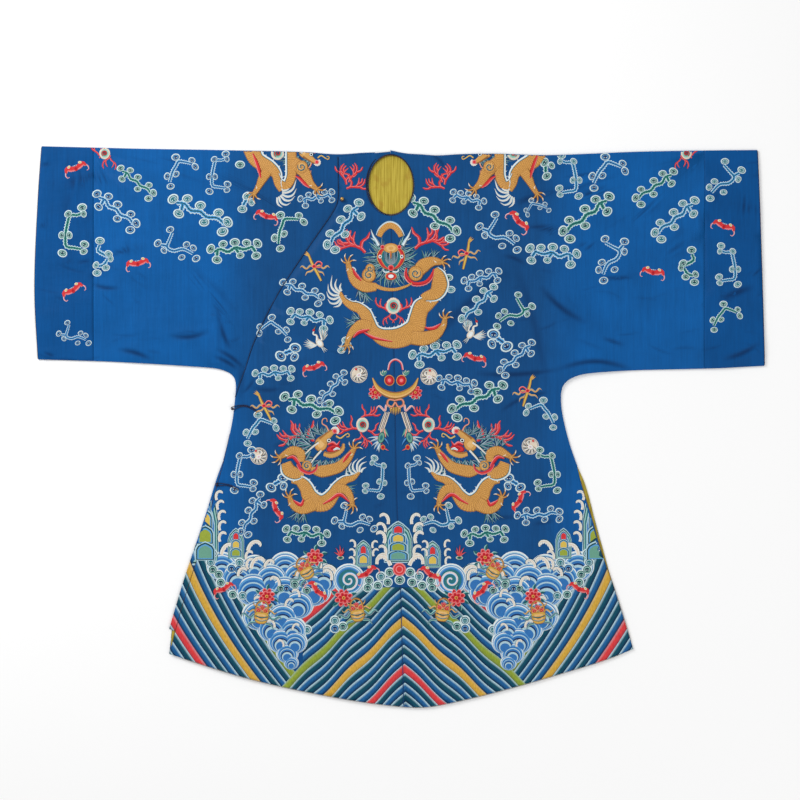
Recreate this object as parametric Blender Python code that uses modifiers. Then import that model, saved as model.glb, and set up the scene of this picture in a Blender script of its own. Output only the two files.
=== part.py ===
"""A silk dragon robe laid flat on its back, front side up. Metres, +Z up.

-X is the wearer's right, where the front overlap closes, and +Y is the shoulder line. The origin is
under the middle of the robe's outline, on the surface it lies on. Each half of the body is one long
length of cloth: up the back, over the shoulder fold and down the front.
"""

import math

import bmesh
import bpy
from mathutils import Vector

# Driving dimensions, in metres
WALL = 0.001  # silk with its interlining
GAP = 0.0003  # air between pieces
LAYER = WALL + GAP
SEAM_TOP = -0.0235  # how far across the centre seam is at the shoulder and at the hem
SEAM_HEM = 0.0100
LOOM_RIGHT = -0.765  # where the loom width ends and the sleeve end is joined on
LOOM_LEFT = 0.761
UNDER_FRONT_EDGE = -0.062  # free inner edge of the under front
OVERLAP_SETTLES = 0.006  # this far from the centre seam, the overlap starts to climb one layer
ARMPIT_RIGHT = (-0.409, 0.131)
ARMPIT_LEFT = (0.404, 0.112)
OVERLAP_LEVEL_Y = 0.075  # height where the overlap's slanting edge reaches the side
SLIT_TOP_RIGHT = -0.082
SLIT_TOP_LEFT = -0.098
NECK_MIDDLE = (-0.0222, 0.6055)
NECK_HALF = (0.0585, 0.0770)
EDGE_CORD = 0.0005  # radius of the rolled edge at hems and cuffs
PIPING = 0.0011  # radius of the dark cord on the overlap's edge
NECK_CORD = 0.0015
LOOP_CORD = 0.0010
STRAND_GAP = 1.6  # how far each strand of a loop runs from the loop's middle, in cord radii
STRAND_CLOSES = 3  # a loop's strands close on each other over one part in this many of its length
BUTTON = 0.0050
BUTTON_SPOT = (-0.1440, 0.5700)
BUTTON_LOOP_TURN = (200, 140)  # start and reach of the button's loop round it, in degrees
BUTTON_LOOP_DROP = 0.0010
KNOT = 0.0030
COLUMN = 0.040  # width of a cell of cloth, about
ROW = 0.036  # height of a cell on the front
BACK_ROW = 0.100  # height of a cell on the back, which lies flat
JOIN = 0.00004  # points nearer than this are one
FLAT_PAST_EDGE = 0.025  # the cloth beside the overlap stays flat this far out
LINING_INSET = 0.004  # how far the lining stays inside the back at the sides
LINING_HEM_INSET = 0.003
LINING_COLUMNS = 28
LINING_SLIT_ROWS = 14
LINING_ROWS = (-0.05, 0.02, 0.08, 0.12, 0.25, 0.40, 0.55)  # heights above the slit
LINING_HEM_EASE = (0.85, 0.7, 0.5, 0.3, 0.15)  # how much of the hem's curve the next rows keep
LINING_TOP_REACH = 0.02

# The centre seam from the shoulder to the hem
SEAM = (
    (SEAM_TOP, 0.6905),
    (-0.0215, 0.5000),
    (-0.0125, 0.1000),
    (-0.0085, -0.1500),
    (0.0020, -0.4000),
    (SEAM_HEM, -0.6985),
)

# Outlines, wearer's right then left. Columns: across, up.
SHOULDER_RIGHT = (
    (SEAM_TOP, 0.6905),
    (-0.030, 0.6865),
    (-0.119, 0.6830),
    (-0.154, 0.6775),
    (-0.185, 0.6815),
    (-0.239, 0.6860),
    (-0.479, 0.6915),
    (-0.659, 0.6945),
    (-0.8945, 0.7005),
)
SHOULDER_LEFT = (
    (SEAM_TOP, 0.6905),
    (0.030, 0.6780),
    (0.046, 0.6760),
    (0.061, 0.6820),
    (0.079, 0.6730),
    (0.121, 0.6795),
    (0.241, 0.6820),
    (0.361, 0.6780),
    (0.481, 0.6820),
    (0.601, 0.6870),
    (0.781, 0.6900),
    (0.8935, 0.6910),
)
CUFF_RIGHT = ((-0.9035, 0.1705), (-0.9120, 0.3500), (-0.9040, 0.5600), (-0.8945, 0.7005))
CUFF_LEFT = ((0.9110, 0.1545), (0.9080, 0.2800), (0.8990, 0.5600), (0.8935, 0.6910))
UNDERARM_RIGHT = (
    ARMPIT_RIGHT,
    (-0.424, 0.1445),
    (-0.489, 0.1510),
    (-0.704, 0.1640),
    (-0.9035, 0.1705),
)
UNDERARM_LEFT = (
    ARMPIT_LEFT,
    (0.418, 0.1265),
    (0.448, 0.1340),
    (0.502, 0.1390),
    (0.607, 0.1440),
    (0.766, 0.1480),
    (0.911, 0.1545),
)
# The sides from armpit to hem corner
SIDE_RIGHT = (
    ARMPIT_RIGHT,
    (-0.4075, 0.098),
    (-0.4110, 0.068),
    (-0.4160, 0.018),
    (-0.4260, -0.027),
    (-0.4400, SLIT_TOP_RIGHT),
    (-0.4590, -0.132),
    (-0.4875, -0.229),
    (-0.5165, -0.312),
    (-0.5460, -0.402),
    (-0.5760, -0.504),
)
SIDE_BACK_RIGHT = SIDE_RIGHT + ((-0.5760, -0.5665),)
SIDE_OVERLAP = (
    (-0.4095, OVERLAP_LEVEL_Y),
    (-0.4160, 0.018),
    (-0.4260, -0.027),
    (-0.4400, -0.090),
    (-0.4570, -0.150),
    (-0.4720, -0.207),
    (-0.5040, -0.324),
    (-0.5350, -0.422),
    (-0.5650, -0.527),
    (-0.5745, -0.5665),
)
SIDE_LEFT = (
    ARMPIT_LEFT,
    (0.4005, 0.063),
    (0.4080, 0.018),
    (0.4230, -0.042),
    (0.4430, SLIT_TOP_LEFT),
    (0.4500, -0.129),
    (0.4620, -0.172),
    (0.4820, -0.234),
    (0.4970, -0.292),
    (0.5300, -0.387),
    (0.5470, -0.437),
    (0.5695, -0.509),
    (0.5835, -0.5540),
)
SIDE_BACK_LEFT = (
    ARMPIT_LEFT,
    (0.4005, 0.063),
    (0.4080, 0.018),
    (0.4230, -0.042),
    (0.4430, SLIT_TOP_LEFT),
    (0.4600, -0.132),
    (0.4775, -0.192),
    (0.4925, -0.252),
    (0.5100, -0.312),
    (0.5300, -0.387),
    (0.5470, -0.437),
    (0.5695, -0.509),
    (0.5820, -0.5510),
)
# Hems from the centre seam to the corner
HEM_RIGHT = (
    (SEAM_HEM, -0.6985),
    (-0.089, -0.6870),
    (-0.239, -0.6600),
    (-0.389, -0.6250),
    (-0.509, -0.5875),
    (-0.5745, -0.5665),
)
HEM_LEFT = (
    (SEAM_HEM, -0.6985),
    (0.061, -0.7015),
    (0.130, -0.6880),
    (0.200, -0.6720),
    (0.313, -0.6420),
    (0.436, -0.6055),
    (0.511, -0.5825),
    (0.5835, -0.5540),
)
HEM_UNDER_FRONT = (
    (UNDER_FRONT_EDGE, -0.6300),
    (-0.239, -0.5960),
    (-0.389, -0.5610),
    (-0.5760, -0.5040),
)
# The overlap's free edge from the side up to the shoulder fold
OVERLAP_EDGE = (
    (-0.4095, OVERLAP_LEVEL_Y),
    (-0.4020, 0.100),
    (-0.3840, 0.143),
    (-0.3690, 0.198),
    (-0.3330, 0.276),
    (-0.2970, 0.343),
    (-0.2300, 0.444),
    (-0.1505, 0.561),
    (-0.1515, 0.598),
    (-0.1530, 0.6755),
)

# Largest folds: the line each runs along, its half width and how far the cloth stands up
FOLDS = (
    # name, from across, from up, to across, to up, half width, rise
    ("right armpit", -0.470, 0.190, -0.392, 0.130, 0.022, 0.0040),
    ("right sleeve low", -0.640, 0.250, -0.500, 0.195, 0.032, 0.0035),
    ("right cuff", -0.860, 0.270, -0.720, 0.340, 0.034, 0.0045),
    ("left armpit", 0.400, 0.130, 0.510, 0.165, 0.024, 0.0055),
    ("left sleeve slant", 0.363, 0.343, 0.476, 0.256, 0.028, 0.0040),
    ("left sleeve low", 0.560, 0.230, 0.700, 0.180, 0.036, 0.0035),
    ("left cuff", 0.790, 0.160, 0.880, 0.200, 0.030, 0.0045),
    ("left shoulder", 0.066, 0.668, 0.120, 0.635, 0.018, 0.0030),
    ("left chest", 0.090, 0.220, 0.260, 0.380, 0.040, 0.0035),
    ("skirt right", -0.330, -0.080, -0.400, -0.420, 0.060, 0.0040),
    ("skirt left", 0.260, -0.060, 0.360, -0.420, 0.070, 0.0045),
    ("belly", -0.120, 0.060, 0.150, 0.020, 0.050, 0.0030),
)

# The two cloth loops on the overlap: columns name, knot across, knot up, tail across, tail up, bow
CORD_LOOPS = (
    ("armpit", -0.4170, 0.047, -0.358, 0.040, 0.010),
    ("hip", -0.4560, -0.143, -0.402, -0.156, 0.005),
)

# Linear colours
SILK_BLUE = (0.014, 0.082, 0.275, 1)
LINING_YELLOW = (0.479, 0.366, 0.050, 1)
DARK_EDGE = (0.010, 0.010, 0.022, 1)
EDGE_BROWN = (0.070, 0.035, 0.018, 1)
BUTTON_GOLD = (0.620, 0.440, 0.190, 1)


def catmull(rows, share):
    """The point at a share of the way through rows of (across, up), as one smooth curve."""
    spans = len(rows) - 1
    place = min(max(share, 0.0), 1.0) * spans
    i = min(int(place), spans - 1)
    t = place - i
    b = Vector(rows[i])
    c = Vector(rows[i + 1])
    a = Vector(rows[i - 1]) if i else b * 2 - c
    d = Vector(rows[i + 2]) if i + 2 <= spans else c * 2 - b
    linear = (c - a) * 0.5 * t
    square = (a * 2 - b * 5 + c * 4 - d) * 0.5 * t * t
    cube = (b * 3 - a - c * 3 + d) * 0.5 * t * t * t
    return b + linear + square + cube


def curve_of(rows):
    """A function from share to point that moves at an even speed along the rows."""
    samples = 24 * (len(rows) - 1)
    points = [catmull(rows, i / samples) for i in range(samples + 1)]
    lengths = [0.0]
    for first, second in zip(points, points[1:]):
        lengths.append(lengths[-1] + (second - first).length)

    def at(share):
        target = min(max(share, 0.0), 1.0) * lengths[-1]
        for i in range(samples):
            if lengths[i + 1] >= target:
                span = max(lengths[i + 1] - lengths[i], 1e-9)
                return points[i].lerp(points[i + 1], (target - lengths[i]) / span)
        return points[-1]

    return at


def height_along(rows):
    """A function from distance across to height, for an outline that runs outward."""
    at = curve_of(rows)
    steps = 40 * (len(rows) - 1)
    sign = 1 if rows[-1][0] > 0 else -1
    points = [at(i / steps) for i in range(steps + 1)]

    def height(across):
        target = sign * across
        for first, second in zip(points, points[1:]):
            if sign * second.x >= target:
                run = max(sign * (second.x - first.x), 1e-9)
                share = min(max((target - sign * first.x) / run, 0.0), 1.0)
                return first.y + (second.y - first.y) * share
        return points[-1].y

    return height


def stretch(rows, low, high):
    """The part of an outline that lies from low to high across."""
    height = height_along(rows)

    def part(share):
        across = low + (high - low) * share
        return Vector((across, height(across)))

    return part


def line(start, end):
    return lambda share: Vector(start).lerp(Vector(end), share)


def coons(bottom, top, inner, outer, u, v):
    """A point inside four edges, u from the inner edge to the outer one and v from the bottom to the top."""
    across = inner(v).lerp(outer(v), u)
    up = bottom(u).lerp(top(u), v)
    low = bottom(0).lerp(bottom(1), u)
    high = top(0).lerp(top(1), u)
    return across + up - low.lerp(high, v)


def grid(edges, columns, rows):
    """Rows of points over one patch, from its bottom row up."""
    return [
        [coons(*edges, i / columns, j / rows) for i in range(columns + 1)]
        for j in range(rows + 1)
    ]


def across_at(rows, height):
    """How far across an outline that runs up or down is at a height."""
    falling = rows if rows[0][1] > rows[-1][1] else rows[::-1]
    if height > falling[0][1]:
        return falling[0][0]
    for (x0, y0), (x1, y1) in zip(falling, falling[1:]):
        if y0 >= height >= y1:
            return x0 + (x1 - x0) * (y0 - height) / (y0 - y1)
    return falling[-1][0]


def along_seam(low, high, shift):
    """An edge that follows the centre seam between two heights, shifted across."""

    def part(share):
        up = low + (high - low) * share
        return Vector((across_at(SEAM, up) + shift, up))

    return part


def fold_rise(point):
    """How far the folds lift the cloth at a point."""
    total = 0.0
    for _, x0, y0, x1, y1, half_width, rise in FOLDS:
        start = Vector((x0, y0))
        run = Vector((x1, y1)) - start
        share = min(max((point - start).dot(run) / run.length_squared, 0.0), 1.0)
        away = (point - start - run * share).length / half_width
        total += rise * math.exp(-away * away)
    return total


def layer_middle(layer):
    return WALL / 2 + layer * LAYER


def back_height(_point):
    return layer_middle(0)


def front_height(point):
    return layer_middle(2) + fold_rise(point)


def under_height(point):
    """The wearer's right front, which lies flat where the overlap covers it."""
    covered_to = across_at(OVERLAP_EDGE, point.y)
    share = min(max((covered_to - point.x - FLAT_PAST_EDGE) / (2 * FLAT_PAST_EDGE), 0.0), 1.0)
    if point.y < OVERLAP_LEVEL_Y:
        share = 0.0
    return layer_middle(2) + fold_rise(point) * share


def overlap_height(point):
    settles = across_at(SEAM, point.y) - OVERLAP_SETTLES
    share = (settles - point.x) / (settles - UNDER_FRONT_EDGE - WALL)
    share = min(max(share, 0.0), 1.0)
    eased = share * share * (3 - 2 * share)
    return front_height(point) + LAYER * eased


class Cloth:
    """An open sheet of quads whose cells are joined by place, before it gets its thickness."""

    def __init__(self):
        self.mesh = bmesh.new()
        self.known = {}

    def vertex(self, point, height):
        key = (round(point.x, 5), round(point.y, 5), round(height, 5))
        if key not in self.known:
            self.known[key] = self.mesh.verts.new((point.x, point.y, height))
        return self.known[key]

    def face(self, corners):
        distinct = list(dict.fromkeys(corners))
        if len(distinct) > 2 and not self.mesh.faces.get(distinct):
            self.mesh.faces.new(distinct)

    def patch(self, rows, height):
        for low, high in zip(rows, rows[1:]):
            for i in range(len(low) - 1):
                corners = (low[i], low[i + 1], high[i + 1], high[i])
                self.face([self.vertex(point, height(point)) for point in corners])

    def turn(self, edge, outward, steps, bulge, front):
        """Carries the cloth round an edge, from the back to the front, in steps."""
        loops = []
        for point, away in zip(edge, outward):
            low = back_height(point)
            high = front(point)
            half = (high - low) / 2
            loop = []
            for i in range(steps + 1):
                angle = math.pi * (i / steps - 0.5)
                out = Vector(away) * half * bulge * math.cos(angle)
                rise = low + half + half * math.sin(angle)
                loop.append(self.vertex(point + out if 0 < i < steps else point, rise))
            loops.append(loop)
        for first, second in zip(loops, loops[1:]):
            for i in range(steps):
                self.face([first[i], second[i], second[i + 1], first[i + 1]])

    def finish(self, name, colour, collection):
        bmesh.ops.remove_doubles(self.mesh, verts=self.mesh.verts[:], dist=JOIN)
        bmesh.ops.recalc_face_normals(self.mesh, faces=self.mesh.faces[:])
        data = bpy.data.meshes.new(name)
        self.mesh.to_mesh(data)
        self.mesh.free()
        piece = bpy.data.objects.new(name, data)
        collection.objects.link(piece)
        solid = piece.modifiers.new("Thickness", "SOLIDIFY")
        solid.thickness = WALL
        solid.offset = 0
        solid.use_even_offset = True
        data.materials.append(finish_of(name, colour))
        return piece


def outward_of(points, sign):
    """Unit directions square to a run of points, on its right for sign 1."""
    found = []
    for i in range(len(points)):
        run = points[min(i + 1, len(points) - 1)] - points[max(i - 1, 0)]
        found.append(Vector((run.y, -run.x)).normalized() * sign)
    return found


def finish_of(name, colour, roughness=0.55, metallic=0.0):
    material = bpy.data.materials.new(name)
    material.use_nodes = True
    shader = material.node_tree.nodes["Principled BSDF"]
    shader.inputs["Base Color"].default_value = colour
    shader.inputs["Roughness"].default_value = roughness
    shader.inputs["Metallic"].default_value = metallic
    material.diffuse_color = colour
    return material


def count(length, cell):
    return max(1, round(abs(length) / cell))


def body_half(name, collection, side):
    """Back half, shoulder fold and front half with the upper sleeve, in one length of cloth."""
    right = side == "right"
    armpit = ARMPIT_RIGHT if right else ARMPIT_LEFT
    loom = LOOM_RIGHT + GAP / 2 if right else LOOM_LEFT - GAP / 2
    shoulder = SHOULDER_RIGHT if right else SHOULDER_LEFT
    underarm = UNDERARM_RIGHT if right else UNDERARM_LEFT

    def edge_between(low, high):
        if right:
            return line((UNDER_FRONT_EDGE, low), (UNDER_FRONT_EDGE, high))
        return along_seam(low, high, GAP)

    shoulder_edge = UNDER_FRONT_EDGE if right else SEAM_TOP + GAP
    hem_edge = UNDER_FRONT_EDGE if right else SEAM_HEM + GAP
    front_hem = HEM_UNDER_FRONT if right else HEM_LEFT
    back_hem = HEM_RIGHT if right else HEM_LEFT
    back_side = SIDE_BACK_RIGHT if right else SIDE_BACK_LEFT
    front_side = SIDE_RIGHT if right else SIDE_LEFT
    slit_top = SLIT_TOP_RIGHT if right else SLIT_TOP_LEFT
    columns = count(armpit[0] - shoulder_edge, COLUMN)
    arm_columns = count(loom - armpit[0], COLUMN)
    cloth = Cloth()
    shoulder_body = stretch(shoulder, shoulder_edge, armpit[0])
    shoulder_arm = stretch(shoulder, armpit[0], loom)
    under = stretch(underarm, armpit[0], loom)
    armpit_line = line(edge_between(armpit[1], slit_top)(0), armpit)
    side_seam = [row for row in front_side if row[1] >= slit_top]
    free_front = [row for row in front_side if row[1] <= slit_top]
    free_back = [row for row in back_side if row[1] <= slit_top]
    slit_corner = side_seam[-1]
    slit_line = line(edge_between(slit_top, armpit[1])(0), slit_corner)
    armpit_column = line(armpit, shoulder_arm(0))
    loom_line = line(under(1), shoulder_arm(1))
    front_of = under_height if right else front_height
    for layer, height, cell in (("back", back_height, BACK_ROW), ("front", front_of, ROW)):
        front = layer == "front"
        free = curve_of((free_front if front else free_back)[::-1])
        hem = front_hem if front else back_hem
        low = stretch(hem, hem_edge, free(0).x)
        front_low = low
        seam_rows = count(armpit[1] - slit_top, ROW)
        skirt_rows = count(free(0).y - slit_top, cell)
        inner = edge_between(low(0).y, slit_top)
        cloth.patch(grid((low, slit_line, inner, free), columns, skirt_rows), height)
        inner = edge_between(slit_top, armpit[1])
        seam = curve_of(side_seam[::-1])
        cloth.patch(grid((slit_line, armpit_line, inner, seam), columns, seam_rows), height)
        rows = count(shoulder_body(0).y - armpit[1], cell)
        inner = edge_between(armpit[1], shoulder_body(0).y)
        chest = (armpit_line, shoulder_body, inner, armpit_column)
        cloth.patch(grid(chest, columns, rows), height)
        sleeve = (under, shoulder_arm, armpit_column, loom_line)
        cloth.patch(grid(sleeve, arm_columns, rows), height)
        if right and not front:
            strips = [(low(0), slit_line(0), skirt_rows)]
            strips.append((slit_line(0), armpit_line(0), seam_rows))
            strips.append((armpit_line(0), shoulder_body(0), rows))
            for start, end, steps in strips:
                far = along_seam(start.y, end.y, -GAP)
                edges = (line(start, far(0)), line(end, far(1)), line(start, end), far)
                cloth.patch(grid(edges, 1, steps), height)
    top = [shoulder_body(i / columns) for i in range(columns + 1)]
    top += [shoulder_arm(i / arm_columns) for i in range(1, arm_columns + 1)]
    cloth.turn(top, [(0, 1)] * len(top), 4, 1.0, front_of)
    seam_rows = count(armpit[1] - slit_top, ROW)
    seam = curve_of(side_seam)
    low = [under(1 - i / arm_columns) for i in range(arm_columns)]
    low += [seam(i / seam_rows) for i in range(seam_rows + 1)]
    cloth.turn(low, outward_of(low, 1 if right else -1), 2, 0.7, front_of)
    rim = [free(1 - j / skirt_rows) for j in range(1, skirt_rows)]
    rim += [front_low(1 - i / columns) for i in range(columns + 1)]
    return cloth.finish(name, SILK_BLUE, collection), rim


def sleeve_end(name, collection, side):
    """The length joined on past the loom width, a flattened tube open at the cuff."""
    right = side == "right"
    loom = LOOM_RIGHT - GAP / 2 if right else LOOM_LEFT + GAP / 2
    shoulder = SHOULDER_RIGHT if right else SHOULDER_LEFT
    underarm = UNDERARM_RIGHT if right else UNDERARM_LEFT
    cuff = curve_of(CUFF_RIGHT if right else CUFF_LEFT)
    top = stretch(shoulder, loom, cuff(1).x)
    under = stretch(underarm, loom, cuff(0).x)
    columns = count(cuff(0).x - loom, COLUMN)
    edges = (under, top, line(under(0), top(0)), cuff)
    cloth = Cloth()
    body_rows = count(top(0).y - under(0).y, BACK_ROW)
    cloth.patch(grid(edges, columns, body_rows), back_height)
    cloth.patch(grid(edges, columns, count(top(0).y - under(0).y, ROW)), front_height)
    run = [top(i / columns) for i in range(columns + 1)]
    cloth.turn(run, [(0, 1)] * len(run), 4, 1.0, front_height)
    run = [under(1 - i / columns) for i in range(columns + 1)]
    cloth.turn(run, outward_of(run, 1 if right else -1), 2, 0.7, front_height)
    return cloth.finish(name, SILK_BLUE, collection)


def front_overlap(name, collection):
    """The outer front's right half, from the centre seam to its free slanting edge."""
    side = curve_of(SIDE_OVERLAP[::-1])
    hem = stretch(HEM_RIGHT, SEAM_HEM - GAP / 2, side(0).x)
    upper = along_seam(OVERLAP_LEVEL_Y, SHOULDER_RIGHT[0][1] - 2 * WALL, -GAP / 2)
    level = line(upper(0), SIDE_OVERLAP[0])
    edge = curve_of(OVERLAP_EDGE)
    shoulder = line(upper(1), edge(1))
    columns = count(SIDE_OVERLAP[0][0] - SEAM_HEM, COLUMN)
    cloth = Cloth()
    inner = along_seam(hem(0).y, OVERLAP_LEVEL_Y, -GAP / 2)
    skirt_rows = count(hem(0).y - OVERLAP_LEVEL_Y, ROW)
    cloth.patch(grid((hem, level, inner, side), columns, skirt_rows), overlap_height)
    rows = count(edge(1).y - OVERLAP_LEVEL_Y, ROW)
    cloth.patch(grid((level, shoulder, upper, edge), columns, rows), overlap_height)
    free_edge = [edge(j / rows) for j in range(rows + 1)]
    rim = [side(1 - j / skirt_rows) for j in range(3, skirt_rows)]
    rim += [hem(1 - i / columns) for i in range(columns + 1)]
    return cloth.finish(name, SILK_BLUE, collection), rim, free_edge


def lining_rows():
    """Rows of points over the lining, from the hem up."""
    left = curve_of([row for row in SIDE_BACK_LEFT[::-1] if row[1] <= SLIT_TOP_LEFT])
    ends = []
    for i in range(LINING_SLIT_ROWS + 1):
        point = left(i / LINING_SLIT_ROWS)
        ends.append((across_at(SIDE_BACK_RIGHT, point.y) + LINING_INSET, point.x, point.y))
    for height in LINING_ROWS:
        low = across_at(SIDE_RIGHT, height) + LINING_INSET
        high = across_at(SIDE_LEFT, height) - LINING_INSET
        ends.append((low, high, height))
    shares = [i / LINING_COLUMNS for i in range(LINING_COLUMNS + 1)]
    return [[Vector((low + (high - low) * share, up)) for share in shares] for low, high, up in ends]


def back_lining(name, collection):
    """The yellow lining of the back, which shows in the neck and at the left slit."""
    hems = [height_along(HEM_RIGHT), height_along(HEM_LEFT)]
    tops = [height_along(SHOULDER_RIGHT), height_along(SHOULDER_LEFT)]
    points = lining_rows()
    points[0] = [Vector((p.x, hems[p.x > SEAM_HEM](p.x) + LINING_HEM_INSET)) for p in points[0]]
    corner = points[0][-1].y
    for i, share in enumerate(LINING_HEM_EASE):
        eased = zip(points[0], points[i + 1])
        points[i + 1] = [Vector((p.x, p.y + (low.y - corner) * share)) for low, p in eased]
    top = []
    for p in points[-1]:
        near = [p.x + reach for reach in (-LINING_TOP_REACH, 0.0, LINING_TOP_REACH)]
        lowest = min(tops[x > SEAM_TOP](x) for x in near)
        top.append(Vector((p.x, lowest - 3 * WALL)))
    points.append(top)
    middle = layer_middle(1)
    cloth = Cloth()
    cloth.patch(points, lambda _point: middle)
    return cloth.finish(name, LINING_YELLOW, collection)


def cord(name, points, radius, colour, collection, closed=False, metallic=0.0):
    """A round cord through points, as a curve with a bevel."""
    data = bpy.data.curves.new(name, "CURVE")
    data.dimensions = "3D"
    data.bevel_depth = radius
    data.bevel_resolution = 1
    data.use_fill_caps = not closed
    spline = data.splines.new("POLY")
    spline.points.add(len(points) - 1)
    for slot, point in zip(spline.points, points):
        slot.co = (*point, 1)
    spline.use_cyclic_u = closed
    piece = bpy.data.objects.new(name, data)
    collection.objects.link(piece)
    data.materials.append(finish_of(name, colour, metallic=metallic))
    return piece


def neck_binding(collection):
    """The dark binding that lies just inside the neck opening."""
    clear = NECK_CORD + GAP
    height = layer_middle(2) - WALL / 2 + NECK_CORD
    points = []
    steps = 40
    for i in range(steps):
        angle = math.tau * i / steps
        across = NECK_MIDDLE[0] + (NECK_HALF[0] - clear) * math.cos(angle)
        up = NECK_MIDDLE[1] + (NECK_HALF[1] - clear) * math.sin(angle)
        points.append((across, up, height))
    cord("neck_binding", points, NECK_CORD, DARK_EDGE, collection, closed=True)


def cut_neck(pieces, cutters):
    """Cuts the oval neck opening out of the front layers only."""
    bpy.ops.mesh.primitive_cylinder_add(vertices=40, radius=1, depth=0.06)
    cutter = bpy.context.object
    cutter.name = "neck_cutter"
    cutter.scale = (NECK_HALF[0], NECK_HALF[1], 1)
    bpy.ops.object.transform_apply(location=False, rotation=False, scale=True)
    cutter.location = (*NECK_MIDDLE, 0.03 + layer_middle(2) - WALL / 2 - GAP / 2)
    cutter.hide_render = True
    cutter.display_type = "WIRE"
    for owner in list(cutter.users_collection):
        owner.objects.unlink(cutter)
    cutters.objects.link(cutter)
    for piece in pieces:
        cut = piece.modifiers.new("Neck", "BOOLEAN")
        cut.operation = "DIFFERENCE"
        cut.object = cutter


def edge_cord(name, flat, sign, height, radius, colour, collection, lift=0.0):
    """A cord just outside a panel's edge points, following the cloth's height."""
    clear = radius + 2 * GAP
    points = []
    for i, (point, away) in enumerate(zip(flat, outward_of(flat, sign))):
        corner = 1.0
        if 0 < i < len(flat) - 1:
            half_turn = (flat[i + 1] - point).angle(point - flat[i - 1]) / 2
            corner = 1 / max(math.cos(half_turn), 0.5)
        out = point + away * clear * corner
        points.append((out.x, out.y, height(point) + lift))
    return cord(name, points, radius, colour, collection)


def cuff_edge(name, rows, sign, collection):
    """The rolled edge round a cuff's opening, along the front and back of the flat tube."""
    at = curve_of(rows)
    steps = 16
    flat = [at(i / steps) for i in range(steps + 1)]
    clear = EDGE_CORD + GAP
    ways = outward_of(flat, sign)
    front = [(p.x + w.x * clear, p.y + w.y * clear, front_height(p)) for p, w in zip(flat, ways)]
    back = [(x, y, back_height(None)) for x, y, _ in front[::-1]]
    cord(name, front + back, EDGE_CORD, EDGE_BROWN, collection, closed=True)


def cord_loop(row, collection):
    """A cloth loop sewn to the overlap, with the knot it passes round at the side edge."""
    name, knot_x, knot_y, tail_x, tail_y, bow = row
    half = KNOT + GAP + LOOP_CORD
    knot = Vector((knot_x, knot_y))
    tail = Vector((tail_x, tail_y))
    run = tail - knot
    square = Vector((-run.y, run.x)).normalized()
    forward = run.normalized()
    steps = 12
    strands = []
    for sign in (1, -1):
        strand = []
        for i in range(steps + 1):
            share = i / steps
            close = half + (LOOP_CORD * STRAND_GAP - half) * min(share * STRAND_CLOSES, 1.0)
            arch = bow * math.sin(math.pi * share)
            point = knot + run * share + square * (sign * close + arch)
            strand.append(point)
        strands.append(strand)
    turn = []
    for i in range(1, 6):
        angle = math.pi * i / 6
        turn.append(knot - forward * half * math.sin(angle) - square * half * -math.cos(angle))
    flat = strands[0][::-1] + turn + strands[1]
    top = overlap_height(Vector((tail.x, knot.y))) + WALL / 2
    points = []
    for point in flat:
        lift = overlap_height(point) + WALL / 2 + GAP * 2 + LOOP_CORD
        points.append((point.x, point.y, max(lift, top + LOOP_CORD)))
    cord(f"{name}_loop", points, LOOP_CORD, DARK_EDGE, collection)
    bpy.ops.mesh.primitive_uv_sphere_add(segments=14, ring_count=8, radius=KNOT)
    ball = bpy.context.object
    ball.name = f"{name}_knot"
    ball.location = (knot.x, knot.y, overlap_height(knot) + WALL / 2 + GAP * 2 + KNOT)
    place_piece(ball, DARK_EDGE, collection)


def ball_button(collection):
    """The gilt ball button at the corner of the overlap, with its short cord loop."""
    spot = Vector(BUTTON_SPOT)
    bpy.ops.mesh.primitive_uv_sphere_add(segments=20, ring_count=12, radius=BUTTON)
    ball = bpy.context.object
    ball.name = "ball_button"
    top = overlap_height(spot) + WALL / 2
    ball.location = (spot.x, spot.y, top + GAP + BUTTON)
    place_piece(ball, BUTTON_GOLD, collection, metallic=1.0)
    points = []
    steps = 12
    reach = BUTTON + GAP + LOOP_CORD
    level = ball.location.z - BUTTON_LOOP_DROP
    start, turn = BUTTON_LOOP_TURN
    for i in range(steps + 1):
        angle = math.radians(start + turn * i / steps)
        points.append((spot.x + reach * math.cos(angle), spot.y + reach * math.sin(angle), level))
    cord("button_loop", points, LOOP_CORD, DARK_EDGE, collection)


def place_piece(piece, colour, collection, metallic=0.0):
    for owner in list(piece.users_collection):
        owner.objects.unlink(piece)
    collection.objects.link(piece)
    piece.data.materials.clear()
    piece.data.materials.append(finish_of(piece.name, colour, 0.4, metallic))
    piece.data.shade_smooth()


def main():
    for item in list(bpy.data.objects):
        bpy.data.objects.remove(item)
    collection = bpy.data.collections.new("dragon_robe")
    cutters = bpy.data.collections.new("cutters")
    bpy.context.scene.collection.children.link(collection)
    bpy.context.scene.collection.children.link(cutters)
    right, _ = body_half("body_right", collection, "right")
    left, left_rim = body_half("body_left", collection, "left")
    overlap, overlap_rim, free_edge = front_overlap("front_overlap", collection)
    cut_neck((right, left, overlap), cutters)
    sleeve_end("sleeve_end_right", collection, "right")
    sleeve_end("sleeve_end_left", collection, "left")
    back_lining("back_lining", collection)
    neck_binding(collection)
    piping = (-1, overlap_height, PIPING, DARK_EDGE, collection, PIPING - WALL / 2 + GAP)
    edge_cord("overlap_piping", free_edge, *piping)
    edge_cord("hem_edge_right", overlap_rim, 1, overlap_height, EDGE_CORD, EDGE_BROWN, collection)
    edge_cord("hem_edge_left", left_rim, -1, front_height, EDGE_CORD, EDGE_BROWN, collection)
    cuff_edge("cuff_edge_right", CUFF_RIGHT, -1, collection)
    cuff_edge("cuff_edge_left", CUFF_LEFT, 1, collection)
    ball_button(collection)
    for row in CORD_LOOPS:
        cord_loop(row, collection)


main()
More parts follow.
